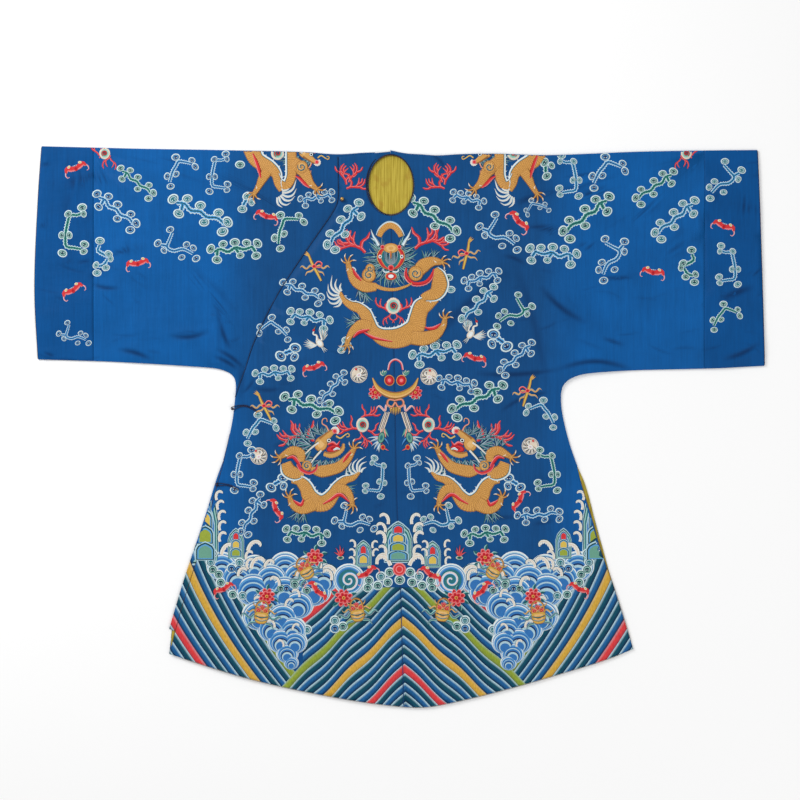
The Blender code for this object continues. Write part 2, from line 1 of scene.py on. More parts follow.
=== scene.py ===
"""The finish of a silk dragon robe that lies flat, front side up.

Metres, +Z up, -X the wearer's right and +Y the shoulder line, as in the CAD frame. Cloth and trims are
finer walls on the forms of their CAD nodes. The embroidery is laid flat, motif by motif, and then
dropped onto the cloth.
"""

import math

import bmesh
import bpy
import numpy as np
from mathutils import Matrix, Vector, noise
from mathutils.bvhtree import BVHTree


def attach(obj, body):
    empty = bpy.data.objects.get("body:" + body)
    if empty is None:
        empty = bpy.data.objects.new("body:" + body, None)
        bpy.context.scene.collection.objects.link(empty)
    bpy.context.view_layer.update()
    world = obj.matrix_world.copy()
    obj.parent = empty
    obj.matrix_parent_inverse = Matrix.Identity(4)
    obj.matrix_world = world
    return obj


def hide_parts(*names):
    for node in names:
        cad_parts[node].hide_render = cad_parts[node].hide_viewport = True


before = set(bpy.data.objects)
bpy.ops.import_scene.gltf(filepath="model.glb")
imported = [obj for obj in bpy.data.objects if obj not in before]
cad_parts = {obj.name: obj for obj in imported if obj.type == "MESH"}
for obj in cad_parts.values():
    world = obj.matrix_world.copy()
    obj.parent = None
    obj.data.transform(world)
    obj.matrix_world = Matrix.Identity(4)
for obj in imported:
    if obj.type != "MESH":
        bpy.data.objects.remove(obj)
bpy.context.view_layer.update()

MM = 0.001
FRONT_FROM = 0.0012  # the front layers begin between these two heights
FRONT_FULL = 0.0026
FRONT_ABOVE = 0.0015  # faces above this height belong to the front
CLOTH_TOP = 0.0030  # the lowest height that a stitch may lie on
SEAM_REACH = 0.002  # a stitch looks this far to each side for cloth, so that it spans a seam
EYE_LENS = 100.0
EYE_SENSOR = 36.0
FIELD = 2.0  # width of what the camera takes in
FIELD_MIDDLE = (0.0006, 0.068)


def dye(red, green, blue):
    """A linear colour from its printed values, 0 to 255."""
    def line(value):
        share = value / 255
        return share / 12.92 if share <= 0.04045 else ((share + 0.055) / 1.055) ** 2.4
    return line(red), line(green), line(blue)


SILK = dye(15, 72, 126)
SILK_SLEEVE = dye(9, 86, 153)
SILK_END = dye(3, 75, 137)
SEAM_SHADE = dye(8, 54, 104)
# Painted shade: the colour the silk darkens to in the troughs of its creases
CREASE_SHADE_COLOUR = dye(4, 34, 76)
YELLOW_LINING = dye(182, 162, 62)
INK = dye(24, 26, 44)
GOLD = dye(205, 153, 80)
GOLD_PALE = dye(222, 178, 112)
GOLD_DARK = dye(152, 100, 44)
CREAM = dye(222, 208, 190)
WHITE = dye(226, 232, 232)
CLOUD_RIM = dye(206, 225, 227)
LEAF = dye(52, 140, 128)
BRIGHT = dye(64, 146, 204)
ICE = dye(170, 202, 214)
MIST = dye(150, 196, 186)
SAGE = dye(104, 158, 138)
TEAL = dye(40, 112, 122)
PINE = dye(16, 68, 76)
SKY = dye(92, 156, 206)
AZURE = dye(48, 112, 178)
NAVY = dye(16, 44, 92)
RED = dye(208, 52, 54)
CRIMSON = dye(170, 22, 40)
PINK = dye(232, 134, 136)
BLUSH = dye(216, 186, 190)
LIME = dye(150, 164, 60)
LEMON = dye(214, 184, 84)
OCHRE = dye(204, 160, 66)
GREY = dye(136, 150, 160)
PLUM = dye(92, 66, 110)


# ---------------------------------------------------------------- camera, light and floor

def studio():
    height = FIELD * EYE_LENS / EYE_SENSOR
    bpy.ops.object.camera_add(location=(*FIELD_MIDDLE, height), rotation=(0, 0, 0))
    eye = bpy.context.object
    eye.data.lens = EYE_LENS
    eye.data.sensor_width = EYE_SENSOR
    eye.data.clip_end = 60
    scene = bpy.context.scene
    scene.camera = eye
    scene.view_settings.view_transform = "Standard"
    world = bpy.data.worlds.new("soft_room")
    world.use_nodes = True
    world.node_tree.nodes["Background"].inputs["Color"].default_value = (1, 1, 1, 1)
    world.node_tree.nodes["Background"].inputs["Strength"].default_value = 0.62
    scene.world = world
    for spot, size, power in (((-2.6, 2.4, 2.2), 1.6, 92), ((2.4, -1.6, 3.4), 3.0, 40)):
        bpy.ops.object.light_add(type="AREA", location=spot)
        lamp = bpy.context.object
        lamp.data.size = size
        lamp.data.energy = power
        lamp.rotation_euler = (Vector((0, 0, 0)) - lamp.location).to_track_quat("-Z", "Y").to_euler()
    bpy.ops.mesh.primitive_plane_add(size=16, location=(0, 0, -0.0002))
    floor = bpy.context.object
    floor.name = "table_top"
    material, _ = finish("pale_table", (0.985, 0.985, 0.985), roughness=0.9, specular=0.1)
    floor.data.materials.append(material)


# ---------------------------------------------------------------- materials

class Graph:
    """Adds and joins the nodes of one material or group."""

    def __init__(self, tree):
        self.tree = tree

    def put(self, socket, value):
        if isinstance(value, bpy.types.NodeSocket):
            self.tree.links.new(value, socket)
        elif isinstance(value, tuple) and socket.type == "RGBA" and len(value) == 3:
            socket.default_value = (*value, 1)
        else:
            socket.default_value = value

    def add(self, kind, settings, values):
        made = self.tree.nodes.new("ShaderNode" + kind)
        for key, value in settings.items():
            setattr(made, key, value)
        for key, value in values.items():
            self.put(made.inputs[key], value)
        return made

    def math(self, operation, first, second=0.0, third=0.0):
        values = {0: first, 1: second}
        if operation == "MULTIPLY_ADD":
            values[2] = third
        return self.add("Math", {"operation": operation}, values).outputs[0]

    def remap(self, value, low, high, to_low=0.0, to_high=1.0):
        values = {0: value, 1: low, 2: high, 3: to_low, 4: to_high}
        return self.add("MapRange", {}, values).outputs[0]

    def mix(self, share, first, second, blend="MIX"):
        made = self.add("Mix", {"data_type": "RGBA", "blend_type": blend}, {0: share, 6: first, 7: second})
        return made.outputs[2]

    def scaled(self, vector, scale):
        return self.add("Mapping", {}, {"Vector": vector, "Scale": scale}).outputs[0]

    def noise(self, vector, scale, detail=2.0):
        return self.add("TexNoise", {}, {"Vector": vector, "Scale": scale, "Detail": detail}).outputs[0]

    def ramp(self, value, stops, hard=False):
        made = self.add("ValToRGB", {}, {0: value})
        band = made.color_ramp
        band.interpolation = "CONSTANT" if hard else "LINEAR"
        while len(band.elements) < len(stops):
            band.elements.new(1.0)
        for element, (place, colour) in zip(band.elements, stops):
            element.position = place
            element.color = (*colour, 1)[:4]
        return made

    def place(self):
        return self.add("TexCoord", {}, {}).outputs["Object"]

    def bump(self, height, distance, strength=1.0):
        return self.add("Bump", {}, {"Height": height, "Distance": distance, "Strength": strength}).outputs[0]


def finish(name, colour, roughness=0.6, specular=0.3, metallic=0.0):
    material = bpy.data.materials.new(name)
    material.use_nodes = True
    graph = Graph(material.node_tree)
    graph.shader = material.node_tree.nodes["Principled BSDF"]
    values = {"Base Color": colour, "Roughness": roughness, "Metallic": metallic,
              "Specular IOR Level": specular}
    for key, value in values.items():
        graph.put(graph.shader.inputs[key], value)
    material.diffuse_color = (*colour, 1)
    return material, graph


def new_group(name, inputs, outputs):
    tree = bpy.data.node_groups.new(name, "ShaderNodeTree")
    for label, kind in inputs:
        tree.interface.new_socket(label, in_out="INPUT", socket_type="NodeSocket" + kind)
    for label, kind in outputs:
        tree.interface.new_socket(label, in_out="OUTPUT", socket_type="NodeSocket" + kind)
    graph = Graph(tree)
    graph.start = tree.nodes.new("NodeGroupInput")
    graph.end = tree.nodes.new("NodeGroupOutput")
    return tree, graph


def ribbed_weave():
    """Fine warp ribs, slubs and slow mottling of hand-woven silk."""
    tree, g = new_group("ribbed_weave", [("Place", "Vector")], [("Shade", "Float"), ("Height", "Float")])
    place = g.start.outputs["Place"]
    ribs = g.noise(g.scaled(place, (700, 26, 1)), 1.0, 3.0)
    weft = g.noise(g.scaled(place, (40, 900, 1)), 1.0, 1.0)
    streak = g.noise(g.scaled(place, (160, 5, 1)), 1.0, 3.0)
    cloudy = g.noise(place, 9.0, 4.0)
    shade = g.math("MULTIPLY_ADD", streak, 0.34, 0.40)
    shade = g.math("MULTIPLY_ADD", cloudy, 0.50, shade)
    shade = g.math("MULTIPLY_ADD", ribs, 0.36, shade)
    g.put(g.end.inputs["Shade"], shade)
    g.put(g.end.inputs["Height"], g.math("MULTIPLY_ADD", weft, 0.5, ribs))
    return tree


BLUE_BAND = (*dye(30, 94, 148), 1.0)
GREEN_BAND = (*dye(14, 76, 96), 0.96)
YELLOW_BAND = (*dye(206, 162, 62), 0.20)
RED_BAND = (*dye(214, 62, 64), 0.34)
LIME_BAND = (*dye(138, 156, 52), 0.30)
CENTRE_BANDS = (GREEN_BAND, RED_BAND, GREEN_BAND, BLUE_BAND, GREEN_BAND, BLUE_BAND, LIME_BAND, GREEN_BAND,
                BLUE_BAND, GREEN_BAND, BLUE_BAND, YELLOW_BAND, GREEN_BAND, BLUE_BAND, GREEN_BAND, BLUE_BAND,
                RED_BAND, GREEN_BAND, BLUE_BAND, GREEN_BAND, BLUE_BAND, GREEN_BAND)
SIDE_BANDS = (GREEN_BAND, BLUE_BAND, GREEN_BAND, RED_BAND, BLUE_BAND, GREEN_BAND, BLUE_BAND, GREEN_BAND,
              YELLOW_BAND, BLUE_BAND, GREEN_BAND, BLUE_BAND, GREEN_BAND, LIME_BAND)
CENTRE_PITCH = 0.0236  # from one band to the next, straight down, in the middle
SIDE_PITCH = 0.021  # from one band to the next, straight across, at the sides
CENTRE_TOP = 0.402  # how far below the robe's middle the ninth band starts
BORDER_STARTS = -0.400  # the bands in the middle show only below this height


def hem_bands():
    """The slanting bands at the hem: chevrons in the middle and a steeper set at each side."""
    outputs = [("Colour", "Color"), ("Mask", "Float"), ("Height", "Float")]
    tree, g = new_group("hem_bands", [("Place", "Vector")], outputs)
    parts = g.add("SeparateXYZ", {}, {0: g.start.outputs["Place"]})
    x, y = parts.outputs[0], parts.outputs[1]
    drift = g.math("MULTIPLY_ADD", y, -0.030, -0.006)
    out = g.math("ABSOLUTE", g.math("SUBTRACT", x, drift))
    swing = g.math("SINE", g.math("MULTIPLY", out, 56.0))
    fall = g.math("MULTIPLY_ADD", swing, -0.0030, g.math("MULTIPLY", out, 0.94))
    below = g.math("SUBTRACT", g.math("MULTIPLY", y, -1.0), fall)
    centre = g.math("DIVIDE", g.math("SUBTRACT", below, CENTRE_TOP - 8 * CENTRE_PITCH), CENTRE_PITCH)
    away = g.math("ABSOLUTE", g.math("SUBTRACT", x, 0.001))
    drop = g.math("SUBTRACT", -0.373, y)
    follow = g.math("MULTIPLY_ADD", drop, g.math("MULTIPLY_ADD", drop, -0.66, -0.44), 0.520)
    side = g.math("MULTIPLY_ADD", g.math("SUBTRACT", follow, away), 1 / SIDE_PITCH, 8.5)
    in_side = g.math("MULTIPLY", g.math("LESS_THAN", side, 14.0), g.math("LESS_THAN", centre, 6.0))
    edge = g.math("MULTIPLY_ADD", g.math("SUBTRACT", 0.489, away), 1.04, g.math("ADD", y, 0.312))
    side_on = g.math("MULTIPLY", in_side, g.math("LESS_THAN", edge, 0.0))
    near = g.math("LESS_THAN", away, 0.243)
    full = g.math("GREATER_THAN", centre, 6.0)
    low = g.math("LESS_THAN", y, BORDER_STARTS)
    centre_on = g.math("MULTIPLY", g.math("MULTIPLY", g.math("MAXIMUM", near, full), low),
                       g.math("GREATER_THAN", centre, 1.0))
    centre_on = g.math("MULTIPLY", centre_on, g.math("SUBTRACT", 1.0, in_side))
    pictures = []
    for value, bands, flip in ((centre, CENTRE_BANDS, False), (side, SIDE_BANDS, True)):
        stops = [(i / len(bands), band) for i, band in enumerate(bands)]
        bed = g.ramp(g.math("DIVIDE", value, len(bands)), stops, hard=True)
        part = g.math("FRACT", value)
        if flip:
            part = g.math("SUBTRACT", 1.0, part)
        strength = bed.outputs["Alpha"]
        pale = g.math("MULTIPLY", g.remap(part, 0.34, 0.05), strength)
        dark = g.math("MULTIPLY", g.remap(part, 0.55, 0.95), strength)
        colour = g.mix(g.math("MULTIPLY", pale, 0.95), bed.outputs["Color"], dye(178, 208, 218))
        colour = g.mix(g.math("MULTIPLY", dark, 0.95), colour, dye(4, 38, 74))
        rim = g.math("MULTIPLY", g.remap(part, 0.90, 1.0), 0.55)
        pictures.append((g.mix(rim, colour, INK), g.math("SINE", g.math("MULTIPLY", part, math.pi))))
    colour = g.mix(in_side, pictures[0][0], pictures[1][0])
    height = g.mix(in_side, pictures[0][1], pictures[1][1])
    g.put(g.end.inputs["Colour"], colour)
    g.put(g.end.inputs["Mask"], g.math("MAXIMUM", centre_on, side_on))
    g.put(g.end.inputs["Height"], height)
    return tree


def robe_silk(name, weave, bands, sleeve_only=False):
    """The blue ground, with the bands of the hem worked on it."""
    material, g = finish(name, SILK, roughness=0.56, specular=0.10)
    place = g.place()
    cloth = g.add("Group", {"node_tree": weave}, {"Place": place})
    away = g.math("ABSOLUTE", g.add("SeparateXYZ", {}, {0: place}).outputs[0])
    sleeve = g.remap(away, 0.34, 0.46)
    ground = g.mix(sleeve, SILK_END, SILK_END) if sleeve_only else g.mix(sleeve, SILK, SILK_SLEEVE)
    ground = g.mix(1.0, ground, cloth.outputs["Shade"], "MULTIPLY")
    # Painted shade: the ground darkens in the troughs of the creases, where shade would fall
    wear_and_shade = g.add("Attribute", {"attribute_name": "CreaseShade"}, {}).outputs["Fac"]
    ground = g.mix(g.math("MULTIPLY", wear_and_shade, 0.75), ground, CREASE_SHADE_COLOUR)
    height = cloth.outputs["Height"]
    if bands:
        hem = g.add("Group", {"node_tree": bands}, {"Place": place})
        threads = g.noise(g.scaled(place, (420, 120, 1)), 1.0, 2.0)
        tone = g.mix(0.45, hem.outputs["Colour"], g.remap(threads, 0.3, 0.7, 0.55, 1.35), "MULTIPLY")
        ground = g.mix(hem.outputs["Mask"], ground, tone)
        rise = g.math("MULTIPLY", g.math("MULTIPLY", hem.outputs["Height"], hem.outputs["Mask"]), 3.0)
        height = g.math("ADD", height, rise)
    g.put(g.shader.inputs["Base Color"], ground)
    crumple = g.noise(g.scaled(place, (9, 24, 1)), 1.0, 4.0)
    height = g.math("MULTIPLY_ADD", crumple, 14.0, height)
    g.put(g.shader.inputs["Normal"], g.bump(height, 0.00022, 0.8))
    return material


def lining_silk(weave):
    material, g = finish("lining_silk", YELLOW_LINING, roughness=0.6, specular=0.12)
    place = g.place()
    cloth = g.add("Group", {"node_tree": weave}, {"Place": place})
    slubs = g.noise(g.scaled(place, (300, 12, 1)), 1.0, 4.0)
    tone = g.mix(g.remap(slubs, 0.35, 0.7), dye(198, 178, 74), dye(154, 132, 38))
    stains = g.remap(g.noise(g.scaled(place, (26, 22, 1)), 1.0, 3.0), 0.60, 0.74, 0.0, 0.5)
    tone = g.mix(stains, tone, dye(150, 96, 34))
    g.put(g.shader.inputs["Base Color"], g.mix(0.7, tone, cloth.outputs["Shade"], "MULTIPLY"))
    g.put(g.shader.inputs["Normal"], g.bump(cloth.outputs["Height"], 0.0002, 0.7))
    return material


def cord_finish(name, colour, wear_and_shade, roughness, metallic=0.0):
    """Dark silk cord, rolled edges and the gilt ball, with worn patches strewn over them at random."""
    material, g = finish(name, colour, roughness=roughness, specular=0.3, metallic=metallic)
    grain = g.noise(g.scaled(g.place(), (900, 900, 900)), 1.0, 2.0)
    patches = g.noise(g.place(), 60.0, 3.0)
    tone = g.mix(g.remap(patches, 0.45, 0.7, 0.0, 0.6), colour, wear_and_shade)
    g.put(g.shader.inputs["Base Color"], g.mix(0.5, tone, g.remap(grain, 0.3, 0.7, 0.6, 1.3), "MULTIPLY"))
    g.put(g.shader.inputs["Normal"], g.bump(grain, 0.0003, 0.6))
    return material


def thread_relief():
    """Threads laid side by side across a stitched shape, from its own map in metres."""
    tree, g = new_group("thread_relief", [("Place", "Vector"), ("Pitch", "Float")],
                        [("Height", "Float"), ("Shade", "Float")])
    parts = g.add("SeparateXYZ", {}, {0: g.start.outputs["Place"]})
    run = g.math("DIVIDE", parts.outputs[0], g.start.outputs["Pitch"])
    rib = g.math("ABSOLUTE", g.math("SINE", g.math("MULTIPLY", run, math.pi)))
    loose = g.noise(g.scaled(g.start.outputs["Place"], (900, 120, 1)), 1.0, 2.0)
    g.put(g.end.inputs["Height"], g.math("MULTIPLY_ADD", loose, 0.6, rib))
    # Shade is darker in the gaps between threads, a painted shade, with a random tone laid over it
    g.put(g.end.inputs["Shade"], g.math("MULTIPLY_ADD", loose, 0.46, g.math("MULTIPLY_ADD", rib, 0.14, 0.68)))
    return tree


SCALE_SIZE = 0.0044  # one scale of a dragon, in metres
SATIN_PITCH = 0.0009  # from one thread to the next
GOLD_PITCH = 0.0011


def stitch_finish(name, threads, pitch, roughness, specular, scales=False, metallic=0.0):
    material, g = finish(name, CREAM, roughness=roughness, specular=specular, metallic=metallic)
    spot = g.add("UVMap", {"uv_map": "Stitch"}, {}).outputs[0]
    relief = g.add("Group", {"node_tree": threads}, {"Place": spot, "Pitch": pitch})
    tint = g.add("Attribute", {"attribute_name": "Tint"}, {}).outputs["Color"]
    tone = g.mix(1.0, tint, relief.outputs["Shade"], "MULTIPLY")
    height = relief.outputs["Height"]
    if scales:
        parts = g.add("SeparateXYZ", {}, {0: spot})
        u = g.math("DIVIDE", parts.outputs[0], SCALE_SIZE)
        v = g.math("DIVIDE", parts.outputs[1], SCALE_SIZE)
        row = g.math("FLOOR", u)
        shift = g.math("MULTIPLY", g.math("MODULO", g.math("ABSOLUTE", row), 2.0), 0.5)
        across = g.math("SUBTRACT", g.math("FRACT", g.math("ADD", v, shift)), 0.5)
        along = g.math("FRACT", u)
        arc = g.math("SQRT", g.math("ADD", g.math("MULTIPLY", across, across),
                                    g.math("MULTIPLY", along, along)))
        ring = g.math("SUBTRACT", 1.0, g.remap(g.math("ABSOLUTE", g.math("SUBTRACT", arc, 0.62)), 0.04, 0.17))
        mottle = g.remap(g.noise(g.scaled(spot, (420, 420, 1)), 1.0, 1.0), 0.32, 0.68)
        tone = g.mix(1.0, tone, g.mix(mottle, (0.80, 0.74, 0.62), (1.22, 1.20, 1.16)), "MULTIPLY")
        tone = g.mix(g.math("MULTIPLY", ring, 0.55), tone, dye(138, 78, 34))
        height = g.math("MULTIPLY_ADD", ring, -2.0, height)
    g.put(g.shader.inputs["Base Color"], tone)
    g.put(g.shader.inputs["Normal"], g.bump(height, 0.00018, 0.8))
    return material


# ---------------------------------------------------------------- the lie of the cloth

# Creases in millimetres: where each starts and ends, how far it bows, its depth, its width
CREASES = (
    (-892, 657, -875, 657, 0, 1.4, 4), (-867, 622, -835, 628, 2, 1.6, 4), (-835, 610, -762, 635, -5, 2.2, 5),
    (-760, 613, -692, 647, 4, 2.2, 5), (-900, 500, -880, 511, 0, 1.4, 4), (-716, 432, -667, 441, 3, 1.6, 5),
    (-803, 411, -775, 416, 0, 1.4, 4), (-773, 373, -722, 402, 4, 2.0, 5), (-763, 356, -705, 348, -4, 1.8, 5),
    (-515, 361, -470, 376, 3, 1.8, 5), (-502, 466, -455, 497, -4, 1.6, 5), (-395, 521, -345, 529, 3, 1.6, 5),
    (-377, 588, -328, 563, 4, 1.8, 5), (-437, 610, -405, 625, 0, 1.2, 4), (-568, 228, -482, 238, -8, 2.4, 6),
    (-448, 266, -425, 200, -4, 2.2, 6), (-453, 193, -388, 146, 4, 3.4, 5), (-460, 175, -407, 146, 3, 2.6, 5),
    (-698, 193, -625, 171, 4, 2.0, 6), (-887, 186, -865, 178, 0, 1.6, 4), (-458, 400, -452, 200, 4, 1.3, 4),
    (285, 556, 400, 586, 6, 3.4, 7), (441, 626, 483, 633, 0, 1.6, 4), (423, 603, 508, 578, -4, 2.2, 5),
    (315, 503, 418, 476, 6, 3.0, 6), (448, 458, 486, 446, 0, 1.6, 4), (261, 428, 311, 408, 4, 1.8, 5),
    (596, 536, 656, 513, 3, 2.2, 5), (620, 556, 675, 556, -3, 2.0, 5), (668, 448, 716, 436, 0, 1.8, 5),
    (505, 373, 583, 378, -3, 1.8, 5), (356, 346, 460, 263, -8, 2.4, 7), (512, 221, 556, 206, 0, 1.6, 5),
    (401, 146, 573, 146, 18, 3.6, 6), (816, 171, 893, 206, -4, 3.4, 6), (828, 563, 896, 541, 0, 1.8, 5),
    (758, 578, 811, 571, 0, 1.6, 5), (876, 386, 900, 386, 0, 1.6, 4), (800, 313, 878, 348, 4, 2.0, 8),
    (81, 681, 116, 643, 4, 1.8, 4), (-364, 121, -391, 86, 3, 1.6, 4), (-364, 98, -299, 96, -5, 1.6, 5),
    (-311, -52, -276, -34, 3, 1.4, 4), (-2, 36, 56, 51, -3, 1.8, 4), (198, 133, 393, 143, -6, 2.4, 6),
    (320, 78, 366, 86, 0, 1.8, 5), (256, 41, 320, 78, 3, 1.6, 5), (228, -229, 296, -226, 2, 1.4, 5),
    (336, -242, 383, -234, 0, 1.4, 5), (88, 218, 263, 381, 10, 1.4, 12), (-398, 168, -400, 68, 3, 1.0, 8),
    (-457, 401, -450, 225, -3, 0.9, 4), (293, 401, 366, 106, 8, 1.0, 10),
)
RIDGE = 3.2  # the cloth swells on both sides of a crease, this many times as wide
CREASE_DEPTH = 1.3  # how much deeper the creases are laid than their tables say
STREWN = 11  # the seed of the small wrinkles
# Where the small wrinkles lie: across from and to, up from and to, how many
STREWN_FIELDS = ((-900, -340, 150, 680, 46), (300, 900, 150, 680, 46), (-320, 320, -260, 560, 30))


def fine_creases():
    """Small wrinkles left by storage, strewn over the sleeves and the upper body."""
    strewn = np.random.default_rng(STREWN)
    rows = []
    for low, high, floor, top, count in STREWN_FIELDS:
        for _ in range(count):
            x, y = strewn.uniform(low, high), strewn.uniform(floor, top)
            turn, length = strewn.normal(0.0, 0.42), strewn.uniform(24, 74)
            dx, dy = 0.5 * length * math.cos(turn), 0.5 * length * math.sin(turn)
            rows.append((x - dx, y - dy, x + dx, y + dy, strewn.normal(0, 2.5), strewn.uniform(0.35, 0.9),
                         strewn.uniform(2.2, 4.0)))
    return rows


def crease_lines():
    lines = []
    for x0, y0, x1, y1, bow, deep, wide in list(CREASES) + fine_creases():
        start, end = np.array((x0, y0)) * MM, np.array((x1, y1)) * MM
        run = end - start
        square = np.array((-run[1], run[0])) / np.linalg.norm(run)
        shares = np.linspace(0, 1, 9)[:, None]
        spine = start + run * shares + square * (bow * MM) * np.sin(math.pi * shares)
        lines.append((spine, CREASE_DEPTH * deep * MM, wide * MM))
    return lines


CREASE_LINES = crease_lines()


def lie_of(points):
    """How far the creases lift the cloth at points (across, up), and how deep in a crease each is, which the
    silk uses for its painted shade in the creases.
    """
    rise = np.zeros(len(points))
    crease_shade = np.zeros(len(points))
    for spine, deep, wide in CREASE_LINES:
        reach = wide * RIDGE * 2.4
        low, high = spine.min(axis=0) - reach, spine.max(axis=0) + reach
        near = np.where(((points > low) & (points < high)).all(axis=1))[0]
        if not len(near):
            continue
        spots = points[near]
        best = np.full(len(near), 1e9)
        along = np.zeros(len(near))
        for i, (start, end) in enumerate(zip(spine, spine[1:])):
            run = end - start
            share = np.clip(((spots - start) @ run) / (run @ run), 0, 1)
            gap = np.linalg.norm(spots - start - share[:, None] * run, axis=1)
            closer = gap < best
            best[closer] = gap[closer]
            along[closer] = (i + share[closer]) / (len(spine) - 1)
        taper = np.sin(math.pi * np.clip(along, 0.04, 0.96)) ** 0.6
        swell = np.exp(-(best / (wide * RIDGE)) ** 2)
        trough = np.exp(-(best / wide) ** 2)
        rise[near] = np.maximum(rise[near], 0) + deep * taper * (swell - trough) * 0.9
        # How deep the point lies in the crease trough, kept for the painted shade in the creases
        crease_shade[near] = np.maximum(crease_shade[near], trough * taper * min(1, deep / 0.0026))
    slow = [noise.noise((x * 5.1, y * 4.3, 0.4)) + 0.5 * noise.noise((x * 13, y * 11, 2.0)) for x,
            y in points]
    rise += 0.0011 * np.clip(np.array(slow) + 0.75, 0, None)
    return rise, crease_shade


CLOTH_LEVELS = 3  # how many times the cloth is made finer
HARD_ANGLE = 78  # degrees; an edge sharper than this stays sharp


def points_of(mesh):
    flat = np.empty(len(mesh.vertices) * 3)
    mesh.vertices.foreach_get("co", flat)
    return flat.reshape(-1, 3)


def activate(piece):
    bpy.ops.object.select_all(action="DESELECT")
    piece.select_set(True)
    bpy.context.view_layer.objects.active = piece


def fine_copy(node, name, levels):
    """A finer copy of a CAD node on the same form, lifted with the cloth it is part of."""
    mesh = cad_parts[node].data.copy()
    mesh.materials.clear()
    piece = bpy.data.objects.new(name, mesh)
    bpy.context.scene.collection.objects.link(piece)
    shape = bmesh.new()
    shape.from_mesh(mesh)
    bmesh.ops.remove_doubles(shape, verts=shape.verts[:], dist=0.00001)
    limits = {"angle_face_threshold": math.radians(35), "angle_shape_threshold": math.radians(50)}
    bmesh.ops.join_triangles(shape, faces=shape.faces[:], **limits)
    hard = shape.edges.layers.float.new("crease_edge")
    for edge in shape.edges:
        if len(edge.link_faces) == 2 and edge.calc_face_angle() > math.radians(HARD_ANGLE):
            edge[hard] = 1.0
    shape.to_mesh(mesh)
    shape.free()
    activate(piece)
    smooth = piece.modifiers.new("Finer", "SUBSURF")
    smooth.levels = smooth.render_levels = levels
    bpy.ops.object.modifier_apply(modifier=smooth.name)
    points = points_of(piece.data)
    share = np.clip((points[:, 2] - FRONT_FROM) / (FRONT_FULL - FRONT_FROM), 0, 1)
    rise, crease_shade = lie_of(points[:, :2])
    lifted = share * share * (3 - 2 * share) * (node != "back_lining")
    points[:, 2] += rise * lifted
    piece.data.vertices.foreach_set("co", points.ravel())
    # The crease depth is stored on the cloth for the painted shade in the creases
    piece.data.attributes.new("CreaseShade", "FLOAT", "POINT").data.foreach_set("value", crease_shade * share)
    piece.data.update()
    bpy.ops.object.shade_smooth_by_angle(angle=math.radians(50))
    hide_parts(node)
    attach(piece, "root")
    return piece


# Cloth pieces: node, piece, finish, slot, flat width, flat length, flat area
CLOTHS = (
    ("body_right", "right_half", "silk", "blue_silk", 0.78, 2.80, 1.48),
    ("body_left", "left_half", "silk", "blue_silk", 0.77, 2.80, 1.62),
    ("front_overlap", "overlap_panel", "silk", "blue_silk", 0.60, 1.39, 0.50),
    ("sleeve_end_right", "right_sleeve_end", "sleeve", "blue_silk", 0.15, 1.07, 0.151),
    ("sleeve_end_left", "left_sleeve_end", "sleeve", "blue_silk", 0.15, 1.09, 0.155),
    ("back_lining", "back_lining_silk", "lining", "yellow_lining", 1.16, 1.39, 1.20),
)
# Trims: node, piece, finish, slot, levels
TRIMS = (
    ("neck_binding", "neck_binding_silk", "dark", "dark_binding", 2),
    ("overlap_piping", "overlap_piping_cord", "piping", "dark_binding", 1),
    ("hem_edge_right", "right_hem_roll", "brown", "brown_edge", 1),
    ("hem_edge_left", "left_hem_roll", "brown", "brown_edge", 1),
    ("cuff_edge_right", "right_cuff_roll", "brown", "brown_edge", 1),
    ("cuff_edge_left", "left_cuff_roll", "brown", "brown_edge", 1),
    ("ball_button", "gilt_ball", "gilt", "gilt_button", 2),
    ("button_loop", "ball_loop", "dark", "dark_binding", 2),
    ("armpit_loop", "armpit_cord", "dark", "dark_binding", 2),
    ("armpit_knot", "armpit_ball", "dark", "dark_binding", 1),
    ("hip_loop", "hip_cord", "dark", "dark_binding", 2),
    ("hip_knot", "hip_ball", "dark", "dark_binding", 1),
)


def dress():
    weave = ribbed_weave()
    bands = hem_bands()
    finishes = {
        "silk": robe_silk("robe_silk", weave, bands),
        "sleeve": robe_silk("sleeve_end_silk", weave, None, sleeve_only=True),
        "lining": lining_silk(weave),
        "dark": cord_finish("dark_binding_silk", dye(30, 26, 44), dye(70, 46, 76), 0.5),
        "piping": cord_finish("piping_silk", dye(12, 34, 68), dye(24, 62, 112), 0.6),
        "brown": cord_finish("brown_edge_silk", dye(84, 60, 46), dye(40, 30, 36), 0.7),
        "gilt": cord_finish("gilt_metal", dye(212, 172, 104), dye(150, 110, 60), 0.34, 1.0),
    }
    shells = []
    for node, name, cover, slot, width, length, area in CLOTHS:
        piece = fine_copy(node, name, CLOTH_LEVELS)
        piece.data.materials.append(finishes[cover])
        shells.append(piece)
    for node, name, cover, slot, levels in TRIMS:
        piece = fine_copy(node, name, levels)
        piece.data.materials.append(finishes[cover])
    return shells


# ---------------------------------------------------------------- stitched shapes

SATIN, COUCHED, SCALED = 0, 1, 2
FORMS = {}


